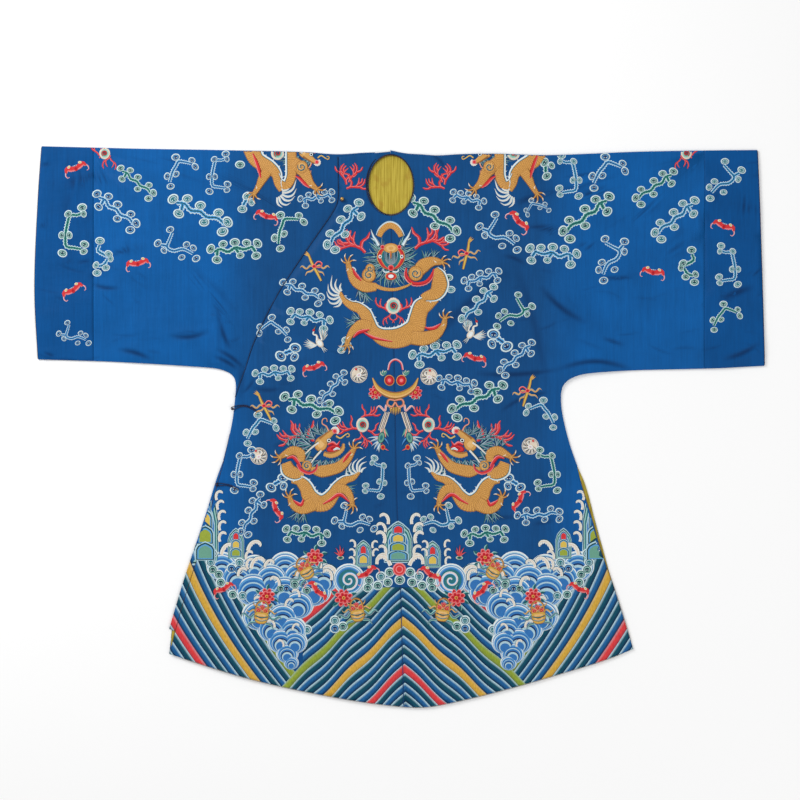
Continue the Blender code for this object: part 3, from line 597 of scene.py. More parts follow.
def form_of(kind, first, second):
    """Points and faces of a flat starting form, made once: a grid, or a disc with inset rings."""
    key = kind, first, second
    if key in FORMS:
        return FORMS[key]
    bpy.ops.object.select_all(action="DESELECT")
    if kind == "grid":
        bpy.ops.mesh.primitive_grid_add(x_subdivisions=first, y_subdivisions=second, size=2)
    else:
        bpy.ops.mesh.primitive_circle_add(vertices=first, radius=1, fill_type="NGON")
        bpy.ops.object.mode_set(mode="EDIT")
        bpy.ops.mesh.select_all(action="SELECT")
        for _ in range(second - 1):
            bpy.ops.mesh.inset(thickness=0.9 / second)
        bpy.ops.object.mode_set(mode="OBJECT")
    made = bpy.context.object
    points = points_of(made.data)
    faces = [list(face.vertices) for face in made.data.polygons]
    bpy.data.objects.remove(made)
    if kind == "grid":
        ids = (np.round((points[:, 0] + 1) / 2 * first), np.round((points[:, 1] + 1) / 2 * second))
    else:
        radii = np.linalg.norm(points[:, :2], axis=1)
        order = np.argsort(np.argsort(-np.round(radii, 4), kind="stable")) // first
        turn = np.arctan2(points[:, 1], points[:, 0]) / math.tau * first
        ids = (order, np.round(turn - turn.min()) % first)
    FORMS[key] = (ids[0].astype(int), ids[1].astype(int), faces)
    return FORMS[key]


class Stitches:
    """Stitched shapes of one kind, laid flat, then dropped onto the cloth as one piece."""

    def __init__(self, name, rise=0.0):
        self.name, self.rise = name, rise
        self.points, self.faces, self.tints, self.maps, self.covers = [], [], [], [], []
        self.count = 0

    def add(self, points, faces, tints, maps, cover):
        first = faces[0]
        a, b, c = (points[first[i]] for i in (0, 1, 2))
        if (b[0] - a[0]) * (c[1] - a[1]) < (b[1] - a[1]) * (c[0] - a[0]):
            faces = [face[::-1] for face in faces]
            tints = [tint[::-1] for tint in tints]
        self.points.append(points)
        for face, tint in zip(faces, tints):
            self.faces.append([i + self.count for i in face])
            self.tints.append(tint)
            self.covers.append(cover)
            self.maps.extend(maps[i] for i in face)
        self.count += len(points)


def at(across, up, turn=0.0, size=1.0, flip=False, parent=None):
    """A place for a motif: turns its own millimetres into the robe's."""
    c, s = math.cos(math.radians(turn)), math.sin(math.radians(turn))

    def put(points):
        spots = np.array(points, float).reshape(-1, 2) * size
        if flip:
            spots[:, 0] *= -1
        spots = spots @ np.array(((c, s), (-s, c))) + (across, up)
        return parent(spots) if parent else spots

    put.size = size * (parent.size if parent else 1)
    return put


def smooth_path(rows, count, closed=False):
    """Points at even steps along a smooth curve through rows, and its length."""
    rows = np.array(rows, float)
    if closed:
        padded = np.vstack((rows[-1], rows, rows[0], rows[1]))
    else:
        padded = np.vstack((2 * rows[0] - rows[1], rows, 2 * rows[-1] - rows[-2]))
    dense = []
    t = np.linspace(0, 1, 12, endpoint=False)[:, None]
    for a, b, c, d in zip(padded, padded[1:], padded[2:], padded[3:]):
        dense.append(0.5 * (2 * b + (c - a) * t + (2 * a - 5 * b + 4 * c - d) * t * t
                            + (3 * b - a - 3 * c + d) * t ** 3))
    dense = np.vstack(dense + [padded[-2][None]])
    steps = np.linalg.norm(np.diff(dense, axis=0), axis=1)
    run = np.concatenate(((0,), np.cumsum(steps)))
    want = np.linspace(0, run[-1], count, endpoint=not closed)
    return np.stack([np.interp(want, run, dense[:, i]) for i in (0, 1)], axis=1), run[-1]


def sides_of(path):
    run = np.gradient(path, axis=0)
    run /= np.maximum(np.linalg.norm(run, axis=1), 1e-9)[:, None]
    return np.stack((-run[:, 1], run[:, 0]), axis=1)


def beside(rows, gap, count=24):
    """A path that keeps a gap to the left of another."""
    path, _ = smooth_path(rows, count)
    return path + sides_of(path) * gap


def strip(work, put, rows, widths, tints, lift=0.5, base=0.0, cover=SATIN, frill=0.0, pitch=3.2, step=2.6):
    """A stitched band along a smooth path. Widths are half widths from its start to its end."""
    rough = np.linalg.norm(np.diff(np.array(rows, float), axis=0), axis=1).sum()
    steps = int(min(max(3, rough * 1.08 / step), 150))
    if frill:
        steps = int(min(max(6, 2 * round(rough * 1.08 / pitch)), 240))
    path, length = smooth_path(rows, steps + 1)
    wide = np.interp(np.linspace(0, 1, steps + 1), np.linspace(0, 1, len(widths)), widths)
    if frill:
        wide = wide + frill * (np.arange(steps + 1) % 2)
    rim = 1 - min(0.22, 1.3 / max(widths))
    inner = {round(-1 + 2 * i / len(tints), 4) for i in range(1, len(tints))}
    stops = np.array(sorted({-1.0, -rim, rim,
                             1.0} | {stop for stop in inner if abs(stop) < rim - 0.04} | {0.0}))
    row, column, faces = form_of("grid", steps, len(stops) - 1)
    side = sides_of(path)
    flat = path[row] - side[row] * (wide[row] * stops[column])[:, None]
    spots = put(flat) * MM
    dome = np.where(np.abs(stops) > 0.99, -0.15, base + lift * (0.6 + 0.4 * np.sqrt(1 - np.clip(stops, -1,
                                                                                                1) ** 2)))
    points = np.column_stack((spots, dome[column] * MM))
    scale = put.size * MM
    maps = np.column_stack((row / steps * length * scale, stops[column] * wide[row] * scale))
    middles = (stops[1:] + stops[:-1]) / 2
    band = np.minimum(((middles + 1) / 2 * len(tints)).astype(int), len(tints) - 1)
    colours = [[tints[band[min(column[i] for i in face)]]] * len(face) for face in faces]
    work.add(points, faces, colours, maps, cover)


def patch(work, put, rows, tints, stops, lift=0.5, base=0.0, cover=SATIN, middle=None, sides=16, rough=False):
    """A filled shape. Tints run from the rim inward, and stops say how far out each one ends."""
    outline = np.array(rows, float) if rough else smooth_path(rows, sides, closed=True)[0]
    sides = len(outline)
    centre = outline.mean(axis=0) if middle is None else np.array(middle, float)
    shares = [1.0, 0.93] + [stop for stop in stops if stop < 0.92] + [0.05]
    ring, side, faces = form_of("disc", sides, len(shares))
    shares = np.array(shares)
    spots = put(centre + (outline[side] - centre) * shares[ring][:, None]) * MM
    high = np.where(shares > 0.99, -0.15, base + lift * (0.55 + 0.45 * (1 - shares ** 2)))
    points = np.column_stack((spots, high[ring] * MM))
    middles = (shares[1:] + shares[:-1]) / 2
    band = [min(sum(1 for stop in stops if middle_share < stop), len(tints) - 1) for middle_share in middles]
    band.append(len(tints) - 1)
    colours = []
    for face in faces:
        outer = min(ring[i] for i in face)
        whole = all(ring[i] == len(shares) - 1 for i in face)
        colours.append([tints[band[-1] if whole else band[outer]]] * len(face))
    work.add(points, faces, colours, spots, cover)


def disc(work, put, x, y, rx, ry, tints, stops, turn=0.0, sides=16, shift=(0, 0), **more):
    c, s = math.cos(math.radians(turn)), math.sin(math.radians(turn))
    rows = []
    for i in range(sides):
        a, b = rx * math.cos(math.tau * i / sides), ry * math.sin(math.tau * i / sides)
        rows.append((x + a * c - b * s, y + a * s + b * c))
    patch(work, put, rows, tints, stops, middle=(x + shift[0], y + shift[1]), rough=True, **more)


def ground_of(shells):
    """The upper faces of the front cloth, for stitches to lie on."""
    points, faces, base = [], [], 0
    for shell in shells:
        spots = points_of(shell.data)
        points.append(spots)
        count = len(shell.data.polygons)
        normals = np.empty(count * 3)
        shell.data.polygons.foreach_get("normal", normals)
        upper = normals.reshape(-1, 3)[:, 2] > 0.05
        for face, keep in zip(shell.data.polygons, upper):
            if keep and spots[face.vertices[0], 2] > FRONT_ABOVE:
                faces.append([base + i for i in face.vertices])
        base += len(spots)
    return BVHTree.FromPolygons(np.vstack(points).tolist(), faces)


def drop(work, tree, finishes):
    """Lays one kind of stitching on the cloth. What would hang past an edge of the robe isn't there."""
    points = np.vstack(work.points)
    down = Vector((0, 0, -1))
    heights = np.zeros(len(points))
    for i, (x, y, _) in enumerate(points.tolist()):
        spots = [tree.ray_cast(Vector((x + step, y, 0.1)), down)[0] for step in (0, -SEAM_REACH, SEAM_REACH)]
        here, left, right = (spot.z if spot else -1 for spot in spots)
        heights[i] = max(here, min(left, right))
    kept = heights > CLOTH_TOP
    points[:, 2] += heights + np.where(points[:, 2] > 0, work.rise, 0)
    loops, starts, tints, maps, covers, place = [], [], [], [], [], 0
    for face, tint, cover in zip(work.faces, work.tints, work.covers):
        if all(kept[i] for i in face):
            starts.append(len(loops))
            loops.extend(face)
            tints.extend(tint)
            maps.extend(work.maps[place:place + len(face)])
            covers.append(cover)
        place += len(face)
    used, loops = np.unique(np.array(loops), return_inverse=True)
    mesh = bpy.data.meshes.new(work.name)
    mesh.vertices.add(len(used))
    mesh.vertices.foreach_set("co", points[used].ravel())
    mesh.loops.add(len(loops))
    mesh.loops.foreach_set("vertex_index", loops)
    mesh.polygons.add(len(starts))
    mesh.polygons.foreach_set("loop_start", starts)
    mesh.polygons.foreach_set("material_index", covers)
    mesh.update(calc_edges=True)
    shown = mesh.color_attributes.new("Tint", "FLOAT_COLOR", "CORNER")
    shown.data.foreach_set("color", np.column_stack((np.array(tints), np.ones(len(loops)))).ravel())
    stitch = mesh.uv_layers.new(name="Stitch")
    stitch.data.foreach_set("uv", np.array(maps).ravel())
    for material in finishes:
        mesh.materials.append(material)
    piece = bpy.data.objects.new(work.name, mesh)
    bpy.context.scene.collection.objects.link(piece)
    activate(piece)
    bpy.ops.object.shade_smooth()
    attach(piece, "root")


# ---------------------------------------------------------------- clouds

# Rim, line inside it, pale ring, heart, stem
GREEN_CLOUD = (CLOUD_RIM, PINE, MIST, PINE, LEAF)
BLUE_CLOUD = (CLOUD_RIM, NAVY, SKY, NAVY, BRIGHT)
MIXED_CLOUD = (CLOUD_RIM, PINE, ICE, TEAL, BRIGHT)

# Each form: stems, then lobes as across, up, size, turn
CLOUD_FORMS = {
    "arm": ([[(-33, 14), (-14, 22), (2, 26), (12, 14), (24, 0), (38, -28)]],
            [(-37, 23, .9, 30), (-43, 3, 1, 60), (8, 40, 1.1, 0), (15, -9, .9, 150), (42, -10, .95, -60),
             (37, -41, 1, 180)]),
    "long": ([[(-42, 34), (-38, 18), (-16, 10), (5, 3), (20, -8), (38, -22)],
              [(38, -24), (30, -36), (22, -42)],
              [(-36, 16), (-44, 6)]],
             [(-42, 46, 1.1, 0), (-48, -1, .95, 150), (5, 20, 1.05, 0), (19, 2, .8, -40), (1, -11, .9, 160),
              (48, -26, 1, -50), (21, -46, 1, 180)]),
    "hook": ([[(20, 44), (8, 37), (-10, 36), (-17, 15), (-21, -10), (-20, -38), (0, -43), (17, -46)]],
             [(19, 56, 1.05, 10), (23, 40, .8, -80), (-15, 40, .9, 40), (-31, -12, .85, 80),
              (-12, -12, .85, -80),
              (25, -34, 1, -20), (23, -52, .85, 200), (-29, -56, 1.05, 160)]),
    "drop": ([[(-4, 28), (-8, 14), (8, 4), (18, -2)], [(16, -8), (6, -22), (-8, -25)]],
             [(-3, 39, 1.05, 0), (19, 6, .95, -30), (24, -6, .8, -90), (-13, -22, .85, 60),
              (12, -29, .9, 190),
              (-10, -42, 1, 180)]),
    "wide": ([[(-46, -2), (-32, 3), (-15, -4), (2, 4), (20, -1), (40, 4)], [(-38, 0), (-41, -14)],
              [(38, 4), (45, -8)],
              [(2, 2), (8, -8)]],
             [(-53, 5, 1, 60), (-41, -20, 1, 170), (-25, 14, .9, 10), (1, 16, 1, 0), (11, -14, .8, 190),
              (27, 13, .9, -10), (51, 10, 1, -50), (46, -17, .95, 190)]),
    "step": ([[(-46, 26), (-30, 22), (-20, 8), (-2, 4), (10, -8), (30, -12), (44, -26)],
              [(-34, 22), (-38, 10)]],
             [(-52, 34, 1, 30), (-44, 4, .95, 150), (-24, 32, .9, 0), (0, 16, .95, 0), (4, -18, .9, 180),
              (34, -2, .9, 0), (50, -22, 1, -60), (38, -40, 1, 190)]),
    "vee": ([[(8, 42), (-6, 26), (-20, 8), (-6, -8), (20, -12), (42, -34)], [(-20, 12), (-34, 20)]],
            [(5, 52, 1, 0), (-41, 28, 1.05, 30), (-32, 2, .85, 120), (34, -3, .9, 0), (49, -19, .9, -60),
             (9, -33, .9, 180), (46, -50, 1.05, 190)]),
    "pair": ([[(-12, -6), (0, 2), (12, 8)]], [(-13, -9, 1, 150), (12, 12, 1, 0), (14, -6, .8, -120)]),
    "bud": ([[(0, -4), (0, 6)]], [(0, 2, 1, 0)]),
}
# Form, across, up, turn, size, flip, colours
SLEEVE_CLOUDS = (
    ("step", -656, 611, -8, .82, 0, 0), ("arm", -547, 642, 10, .8, 1, 1), ("hook", -451, 636, 0, .78, 0, 1),
    ("step", -496, 534, 6, 1.18, 0, 2), ("step", -707, 540, -8, .98, 0, 1), ("hook", -813, 492, 0, .95, 0, 0),
    ("drop", -746, 427, 0, .92, 0, 2), ("vee", -562, 449, 20, .82, 0, 1), ("wide", -412, 444, 4, 1.05, 0, 0),
    ("pair", -386, 560, 30, 1, 0, 2), ("bud", -399, 654, 0, 1, 0, 0), ("vee", -819, 228, 24, .62, 0, 1),
    ("arm", 340, 546, 40, .55, 0, 1), ("pair", 366, 644, 60, 1, 0, 0), ("hook", 421, 628, 0, .84, 1, 2),
    ("arm", 521, 637, 0, .9, 1, 1), ("step", 636, 600, 6, .92, 1, 0), ("vee", 817, 617, 0, .84, 1, 2),
    ("step", 687, 520, 10, 1.02, 1, 2), ("step", 465, 526, 8, 1.15, 1, 0), ("wide", 382, 432, -4, 1.05, 1, 2),
    ("vee", 534, 426, 20, .88, 1, 1), ("drop", 726, 404, 0, .92, 1, 0), ("hook", 819, 405, 0, .8, 1, 2),
    ("arm", 815, 276, 0, .74, 1, 0),
)
BODY_CLOUDS = (
    ("arm", -278, 496, 20, .9, 1, 0), ("wide", -207, 574, 10, .72, 0, 1), ("wide", 170, 571, -14, .72, 1, 1),
    ("step", 85, 524, -6, 1.12, 0, 0), ("vee", 242, 482, 10, .88, 0, 1), ("step", -140, 502, 24, 1.05, 1, 2),
    ("step", -242, 339, 8, .82, 0, 1), ("wide", -226, 272, -10, .9, 1, 2), ("arm", -317, 242, 16, .74, 0, 1),
    ("pair", -279, 186, -10, 1.2, 0, 1), ("wide", -314, 134, 4, .82, 0, 2), ("step", -169, 97, 20, .74, 1, 1),
    ("step", -217, 52, 14, 1.12, 0, 0), ("arm", -347, -4, 0, .82, 1, 2), ("hook", -387, -107, 0, .84, 0, 1),
    ("pair", -306, -140, 0, 1.1, 0, 1), ("hook", -59, -124, -14, .74, 1, 2),
    ("step", -370, -219, 34, .84, 1, 1),
    ("vee", -120, -236, 30, .8, 0, 1), ("wide", -234, -267, -4, .92, 1, 0), ("wide", 205, 372, 18, .8, 1, 1),
    ("step", 195, 305, 16, .9, 1, 2), ("vee", 291, 286, -12, .8, 1, 0), ("pair", 250, 215, -4, 1.3, 1, 1),
    ("wide", 90, 186, 10, 1.02, 0, 2), ("step", 290, 172, 12, .84, 1, 1), ("wide", 142, 110, -10, .8, 0, 1),
    ("step", 192, 69, -4, 1.12, 1, 0), ("arm", 352, 34, 0, .78, 0, 2), ("hook", 39, -124, 14, .74, 0, 1),
    ("vee", 104, -236, -30, .8, 1, 2), ("hook", 367, -107, 0, .84, 1, 0), ("pair", 286, -140, 0, 1.1, 1, 1),
    ("step", 350, -219, 34, .84, 0, 1), ("wide", 214, -267, 4, .92, 0, 0), ("bud", -120, 390, 0, .9, 0, 1),
    ("bud", 122, 372, 0, .9, 0, 0), ("bud", 128, 342, 0, .9, 0, 2), ("pair", -140, 204, 30, .8, 0, 2),
)
PALETTES = (GREEN_CLOUD, BLUE_CLOUD, MIXED_CLOUD)
CLOUD_SIZE = 1.08  # all the clouds, against their forms


def lobe(work, put, x, y, size, turn, tones, round_one=False):
    """A ringed cloud head that leans on its stem, with two light eyes."""
    rim, line, pale, heart, _ = tones
    rx, ry = (11.8 * size, 9.4 * size) if not round_one else (13.0 * size, 12.4 * size)
    down = math.radians(turn) - math.pi / 2
    shift = (2.0 * size * math.cos(down), 2.0 * size * math.sin(down))
    disc(work, put, x, y, rx, ry, (rim, line, pale, heart), (0.75, 0.61, 0.45), turn, 18, shift,
         lift=0.7, base=0.25)
    for sign in (-1, 1):
        a = math.radians(turn)
        ex, ey = x + shift[0] + sign * 2.6 * size * math.cos(a), y + shift[1] + sign * 2.6 * size * math.sin(a)
        disc(work, put, ex, ey, 1.5 * size, 1.3 * size, (rim,), (), 0, 6, lift=0.4, base=0.9)


def cloud(work, row):
    form, x, y, turn, size, flip, palette = row
    put = at(x, y, turn, size * CLOUD_SIZE, bool(flip))
    rim, line, _, _, stem_tone = tones = PALETTES[palette]
    stems, lobes = CLOUD_FORMS[form]
    for stem in stems:
        strip(work, put, stem, (3.0, 4.4, 4.4, 3.2), (rim, stem_tone, line, stem_tone, rim), 0.5,
              frill=2.4, pitch=7)
    for lx, ly, scale, lean in lobes:
        lobe(work, put, lx, ly, scale, lean, tones)


# ---------------------------------------------------------------- bats, pearls and flames

# Across, up, turn, size, flip
BATS = (
    (-810, 648, 20, 1, 0), (-332, 528, -20, 1, 0), (-655, 410, 8, 1, 0), (-817, 343, 28, 1, 0),
    (298, 515, -48, 1.1, 0), (633, 388, -8, 1, 1), (810, 503, -18, 1, 1), (-215, 150, 14, 1, 0),
    (188, 173, -12, 1, 1), (-308, -205, -66, 1, 0), (298, -183, 62, 1, 1), (-85, -365, 30, 1.05, 0),
    (78, -367, -30, 1.05, 1), (-440, -403, 24, .95, 0), (-205, -408, -48, 1.05, 0), (448, -403, -24, .95, 1),
    (205, -408, 48, 1.05, 1),
)


def bat(work, row):
    x, y, turn, size, flip = row
    put = at(x, y, turn, size, bool(flip))
    strip(work, put, [(-27, -5), (-21, 3), (-11, 0), (0, -2), (11, 1), (21, 4), (27, -3)],
          (2.2, 6.0, 6.4, 4.8, 6.2, 6.0, 2.0), (RED, RED, RED, PINK), 0.7, 0.1, frill=1.0, pitch=5)
    strip(work, put, [(-27, -4), (-30, -11), (-27, -18), (-22, -17)], (1.8, 1.4, 0.8), (PINK, BLUSH), 0.4)
    strip(work, put, [(26, 0), (31, -6), (30, -14), (25, -15)], (1.8, 1.4, 0.8), (PINK, BLUSH), 0.4)
    disc(work, put, 0, -2, 5.5, 6.5, (RED, CRIMSON), (0.6,), 0, 10, lift=0.5, base=0.7)
    for lx, ly, tilt in ((-15, 7, 30), (15, 9, -20)):
        disc(work, put, lx, ly, 5.0, 3.6, (CREAM, LEMON), (0.5,), tilt, 10, lift=0.5, base=0.6)
    for dot in (-4, 0, 4):
        disc(work, put, dot, 5.5, 1.3, 1.3, (WHITE,), (), 0, 6, lift=0.4, base=0.6)


def spiral_rows(x, y, radius, turns, start=0.0, end=0.12, sense=1):
    rows = []
    for i in range(int(turns * 12) + 1):
        share = i / (turns * 12)
        angle = math.radians(start) + sense * math.tau * turns * share
        reach = radius * (1 - share * (1 - end))
        rows.append((x + reach * math.cos(angle), y + reach * math.sin(angle)))
    return rows


def pearl(work, put, x, y, rx, ry):
    disc(work, put, x, y, rx, ry, (CREAM, MIST, SAGE, PINE), (0.72, 0.5, 0.34), 0, 20, lift=0.8, base=0.2)
    strip(work, put, spiral_rows(x, y, rx * 0.55, 1.5, -60), (1.4, 2.0, 1.2), (RED, CRIMSON), 0.4, 0.8)


def flames(work, put, rows, wide, tones=(CRIMSON, PINK, RED, RED, CRIMSON)):
    """A branching flame: each row is a curled tongue that ends in a point."""
    for row in rows:
        strip(work, put, row, (wide * 0.8, wide, wide * 0.7, wide * 0.8, 0.4), tones, 0.6, 0.1, frill=0.7,
              pitch=7)


FLAME_WIDTH = 3.1
# An antler of flame: the trunk, then its branches
TONGUES = (
    [(0, 0), (9, 7), (19, 10), (25, 20), (23, 35)], [(17, 9), (30, 13), (38, 24), (38, 37)],
    [(9, 7), (8, 19), (0, 27), (-3, 38)], [(29, 13), (42, 11), (52, 17)], [(24, 18), (32, 26), (31, 36)],
)


def fire(work, put, x, y, turn, size, flip=False, count=5):
    flames(work, at(x, y, turn, size, flip, parent=put), TONGUES[:count], FLAME_WIDTH)


# ---------------------------------------------------------------- rocks, foam and waves

def arch_rows(half, height):
    side = [(half, 0), (half, height * 0.3), (half, height * 0.6), (half * 0.78, height * 0.8),
            (half * 0.36, height * 0.93)]
    return side + [(0, height)] + [(-x, y) for x, y in side[::-1]]


def rock(work, put, half, height, hearts):
    """Nested arches, with coloured hearts stacked from the peak down."""
    middle = (0, height * 0.34)
    tones = (ICE, PINE, MIST, TEAL, ICE, AZURE, PINE)
    stops = (0.95, 0.87, 0.80, 0.71, 0.65, 0.50)
    patch(work, put, arch_rows(half, height), tones, stops, 0.6, middle=middle, rough=True)
    step = height / (len(hearts) + 0.9)
    for i, heart in enumerate(hearts):
        reach = half * (0.42 + 0.42 * (i + 0.4) / len(hearts))
        low = height - step * (i + 1.62)
        inner = at(0, low, parent=put)
        tall = step * 1.25
        patch(work, inner, arch_rows(reach, tall), (ICE, PINE, SKY, heart, heart), (0.86, 0.74, 0.62, 0.3),
              0.6,
              0.5 + 0.25 * i, middle=(0, tall * 0.36), rough=True)


def foam(work, put, size=1.0, drops=5):
    """A cream hook of spray whose inner edge breaks into drops."""
    rows = [(0, 0), (3, 12), (1, 24), (-8, 32), (-17, 30), (-19, 24)]
    here = at(0, 0, 0, size, parent=put)
    strip(work, here, rows, (5.6, 5.4, 4.6, 3.4, 2.4), (WHITE, CREAM, CREAM, WHITE, PINE), 0.7, 0.2)
    path, _ = smooth_path(rows, 60)
    left = sides_of(path)
    for i in range(drops):
        spot = 54 - i * 9
        x, y = path[spot] + left[spot] * 4.6
        disc(work, here, x, y, 2.2, 2.2, (WHITE, CREAM), (0.5,), 0, 8, lift=0.5, base=0.4)


SCALLOP = (WHITE, NAVY, ICE, AZURE, WHITE, SKY, AZURE, ICE, AZURE, NAVY, ICE, AZURE)
SCALLOP_STOPS = (0.950, 0.930, 0.890, 0.855, 0.810, 0.74, 0.66, 0.61, 0.52, 0.46, 0.36)


def scallop(work, x, y, radius, base=0.0, squash=0.92):
    disc(work, at(x, y), 0, 0, radius, radius * squash, SCALLOP, SCALLOP_STOPS, 0, 30, (0, -radius * 0.68),
         lift=0.5, base=base)


def curl(work, x, y, radius, sense, base=0.6):
    """A wave that rolls up on itself."""
    put = at(x, y)
    disc(work, put, 0, 0, radius, radius, SCALLOP[:7] + (TEAL,), SCALLOP_STOPS[:7], 0, 30,
         (0, -radius * 0.1), lift=0.5,
         base=base)
    start = -100 if sense > 0 else 280
    strip(work, put, spiral_rows(0, -radius * 0.05, radius * 0.62, 1.7, start, 0.06, sense),
          (radius * 0.10, radius * 0.12, radius * 0.08), (WHITE, BLUSH, WHITE, SKY, TEAL), 0.5, base + 0.6)


def peony(work, put, radius):
    for ring, count, reach in ((1.0, 8, 0.68), (0.72, 6, 0.34)):
        for i in range(count):
            angle = math.tau * (i + (ring < 1) * 0.5) / count
            x, y = reach * radius * math.cos(angle), reach * radius * math.sin(angle)
            disc(work, put, x, y, radius * 0.36, radius * 0.27, (PINK, RED, CRIMSON), (0.72, 0.4),
                 math.degrees(angle), 10, lift=0.5, base=0.3 + (1 - ring))
    disc(work, put, 0, 0, radius * 0.2, radius * 0.2, (LEMON, CRIMSON), (0.55,), 0, 8, lift=0.5, base=1.0)


def leaf(work, put, x, y, turn, size, tones=(MIST, TEAL, PINE)):
    here = at(x, y, turn, size, parent=put)
    strip(work, here, [(0, 0), (6, 1.4), (13, 0)], (0.6, 3.6, 3.4, 0.4),
          (tones[0], tones[1], tones[2], tones[1]), 0.5)


ROCK_HEARTS = (RED, LEMON, LIME)
# Across, base, half width, height, hearts
ROCKS = (
    (-4, -339, 36, 107, (RED, LEMON, LIME, SAGE)), (-91, -350, 21, 70, (RED, LEMON)),
    (82, -352, 21, 70, (RED, LEMON)),
    (-409, -330, 21, 80, ROCK_HEARTS), (409, -330, 21, 80, ROCK_HEARTS),
    (-486, -345, 34, 198, (RED, LEMON, LIME, SAGE)), (490, -345, 34, 198, (RED, LEMON, LIME, SAGE)),
)
# Spray: across, up, turn, size, flip. The other side mirrors these.
SPRAY = (
    (-28, -242, 12, .74, 0), (-35, -262, 18, .7, 0), (-38, -290, 4, .8, 0), (-36, -322, 0, .7, 0),
    (-22, -345, 40, .95, 0), (-112, -300, 4, .5, 0), (-113, -322, 4, .5, 0), (-114, -342, 4, .5, 0),
    (-68, -302, -4, .5, 1), (-66, -322, -4, .5, 1), (-58, -342, -20, .8, 1), (-160, -385, 10, 1.1, 0),
    (-458, -182, -4, .62, 1), (-455, -206, -4, .62, 1), (-451, -232, -4, .64, 1), (-450, -258, -4, .64, 1),
    (-450, -286, -4, .66, 1), (-446, -318, -30, .95, 1), (-380, -308, -34, .9, 1), (-372, -352, -30, .95, 1),
    (-384, -330, -10, .6, 1), (-380, -355, 0, .7, 1),
)
# Spray that stands on the waves
CRESTS = (
    (-404, -372, -20, .8, 1), (-338, -350, -30, .8, 1), (-300, -396, 20, .85, 0), (-258, -372, -34, .8, 1),
    (-196, -352, 16, .8, 0), (-170, -382, 10, .9, 0), (-342, -442, 24, .75, 0), (-286, -446, -26, .7, 1),
    (-250, -424, 18, .7, 0), (-312, -500, 20, .7, 0), (-268, -506, -22, .6, 1), (-290, -548, 14, .6, 0),
)
# Rows of waves from the back to the front: up, radius, across
WAVE_ROWS = (
    (-346, 40, (-444, -362, -286, -226)), (-372, 45, (-404, -322, -250, -190)),
    (-404, 47, (-366, -288, -216)),
    (-438, 44, (-330, -254)), (-468, 43, (-352, -292)), (-500, 40, (-318, -268)), (-532, 36, (-296, -262)),
    (-563, 29, (-281,)), (-588, 19, (-271,)),
)
BORDER_LOBES = (
    (-25, -362), (-47, -372), (-30, -387), (-55, -395), (-77, -382), (-80, -400), (-490, -300), (-467, -315),
    (-472, -337), (-467, -355), (-452, -367), (-447, -387), (-420, -352), (-400, -337), (-402, -355),
    (-417, -417), (-392, -420), (-297, -402), (-283, -402), (-262, -392), (-242, -389), (-232, -407),
    (-232, -505), (-247, -520), (-250, -537), (-162, -482), (-162, -502), (-142, -497),
)
MIDDLE = 0.5  # the border's middle, in millimetres across
DRAGON_MIRROR = -21  # twice the middle of the paired dragons
BORDER_TOP = -350  # bats below this height lie on the waves


def both_sides(row):
    yield row, False
    yield (2 * MIDDLE - row[0],) + tuple(row[1:]), True


def border():
    waves, rocks, heads = Stitches("hem_waves"), Stitches("rocks_and_foam"), Stitches("border_clouds")
    for i, (y, radius, places) in enumerate(WAVE_ROWS):
        for k, place in enumerate(places):
            for (x,), flipped in both_sides((place,)):
                scallop(waves, x, y - 4 * (k % 2), radius - 4 * (k % 2) + 2 * flipped,
                        0.14 * i + 0.05 * (k % 2))
    for (x, y), flipped in both_sides((-127, -380)):
        curl(waves, x, y, 40, -1 if flipped else 1, 1.6)
    for x, y, half, height, hearts in ROCKS:
        rock(rocks, at(x, y), half, height, hearts)
    for row in SPRAY:
        for (x, y, turn, size, flip), flipped in both_sides(row):
            put = at(x, y, -turn if flipped else turn, size, bool(flip) != flipped)
            foam(rocks, put, 1.2)
    for row in BORDER_LOBES:
        for (x, y), _ in both_sides(row):
            tones = PALETTES[int(abs(row[0] + row[1])) % 3]
            lobe(heads, at(x, y), 0, 0, 1.0, 0, tones, round_one=True)
    lobe(heads, at(0, -381), 0, 0, 1.05, 0, GREEN_CLOUD, round_one=True)
    disc(heads, at(-1, -355), 0, 0, 17, 17, (PINK, RED, PINK, RED), (0.8, 0.55, 0.4), 0, 20, lift=0.8,
         base=1.4)
    crests = Stitches("wave_foam", 0.0013)
    for row in CRESTS:
        for (x, y, turn, size, flip), flipped in both_sides(row):
            foam(crests, at(x, y, -turn if flipped else turn, size, bool(flip) != flipped))
    return waves, rocks, heads, crests


# ---------------------------------------------------------------- dragons

GILT = (GOLD,) * 8
HAIR = ((TEAL, GREY, NAVY), (PINE, TEAL, GREY), (ICE, PINE, NAVY), (TEAL, MIST, PINE))
TALONS = ((-66, 17), (-26, 22), (18, 22), (60, 17), (172, 15))


def blade(work, put, x, y, turn, length, wide, tints, bend=0.0, base=0.3, lift=0.45):
    """One tapered stroke, curved to the left by bend."""
    rows = [(0, 0), (length * 0.4, bend * 0.25), (length * 0.75, bend * 0.7), (length, bend * 1.2)]
    strip(work, at(x, y, turn, parent=put), rows, (wide * 0.7, wide, wide * 0.6, 0.15), tints, lift, base)


def tuft(work, put, x, y, turn, length, count=7, spread=64, base=0.2):
    """A fan of hair in cool tones."""
    for i in range(count):
        share = i / (count - 1) - 0.5
        reach = length * (1 - 0.5 * abs(share) + 0.16 * (i % 3 - 1))
        blade(work, put, x, y, turn + spread * share, reach, length * 0.085, HAIR[i % 4],
              length * (0.2 if i % 2 else -0.12), base + 0.08 * (i % 3))


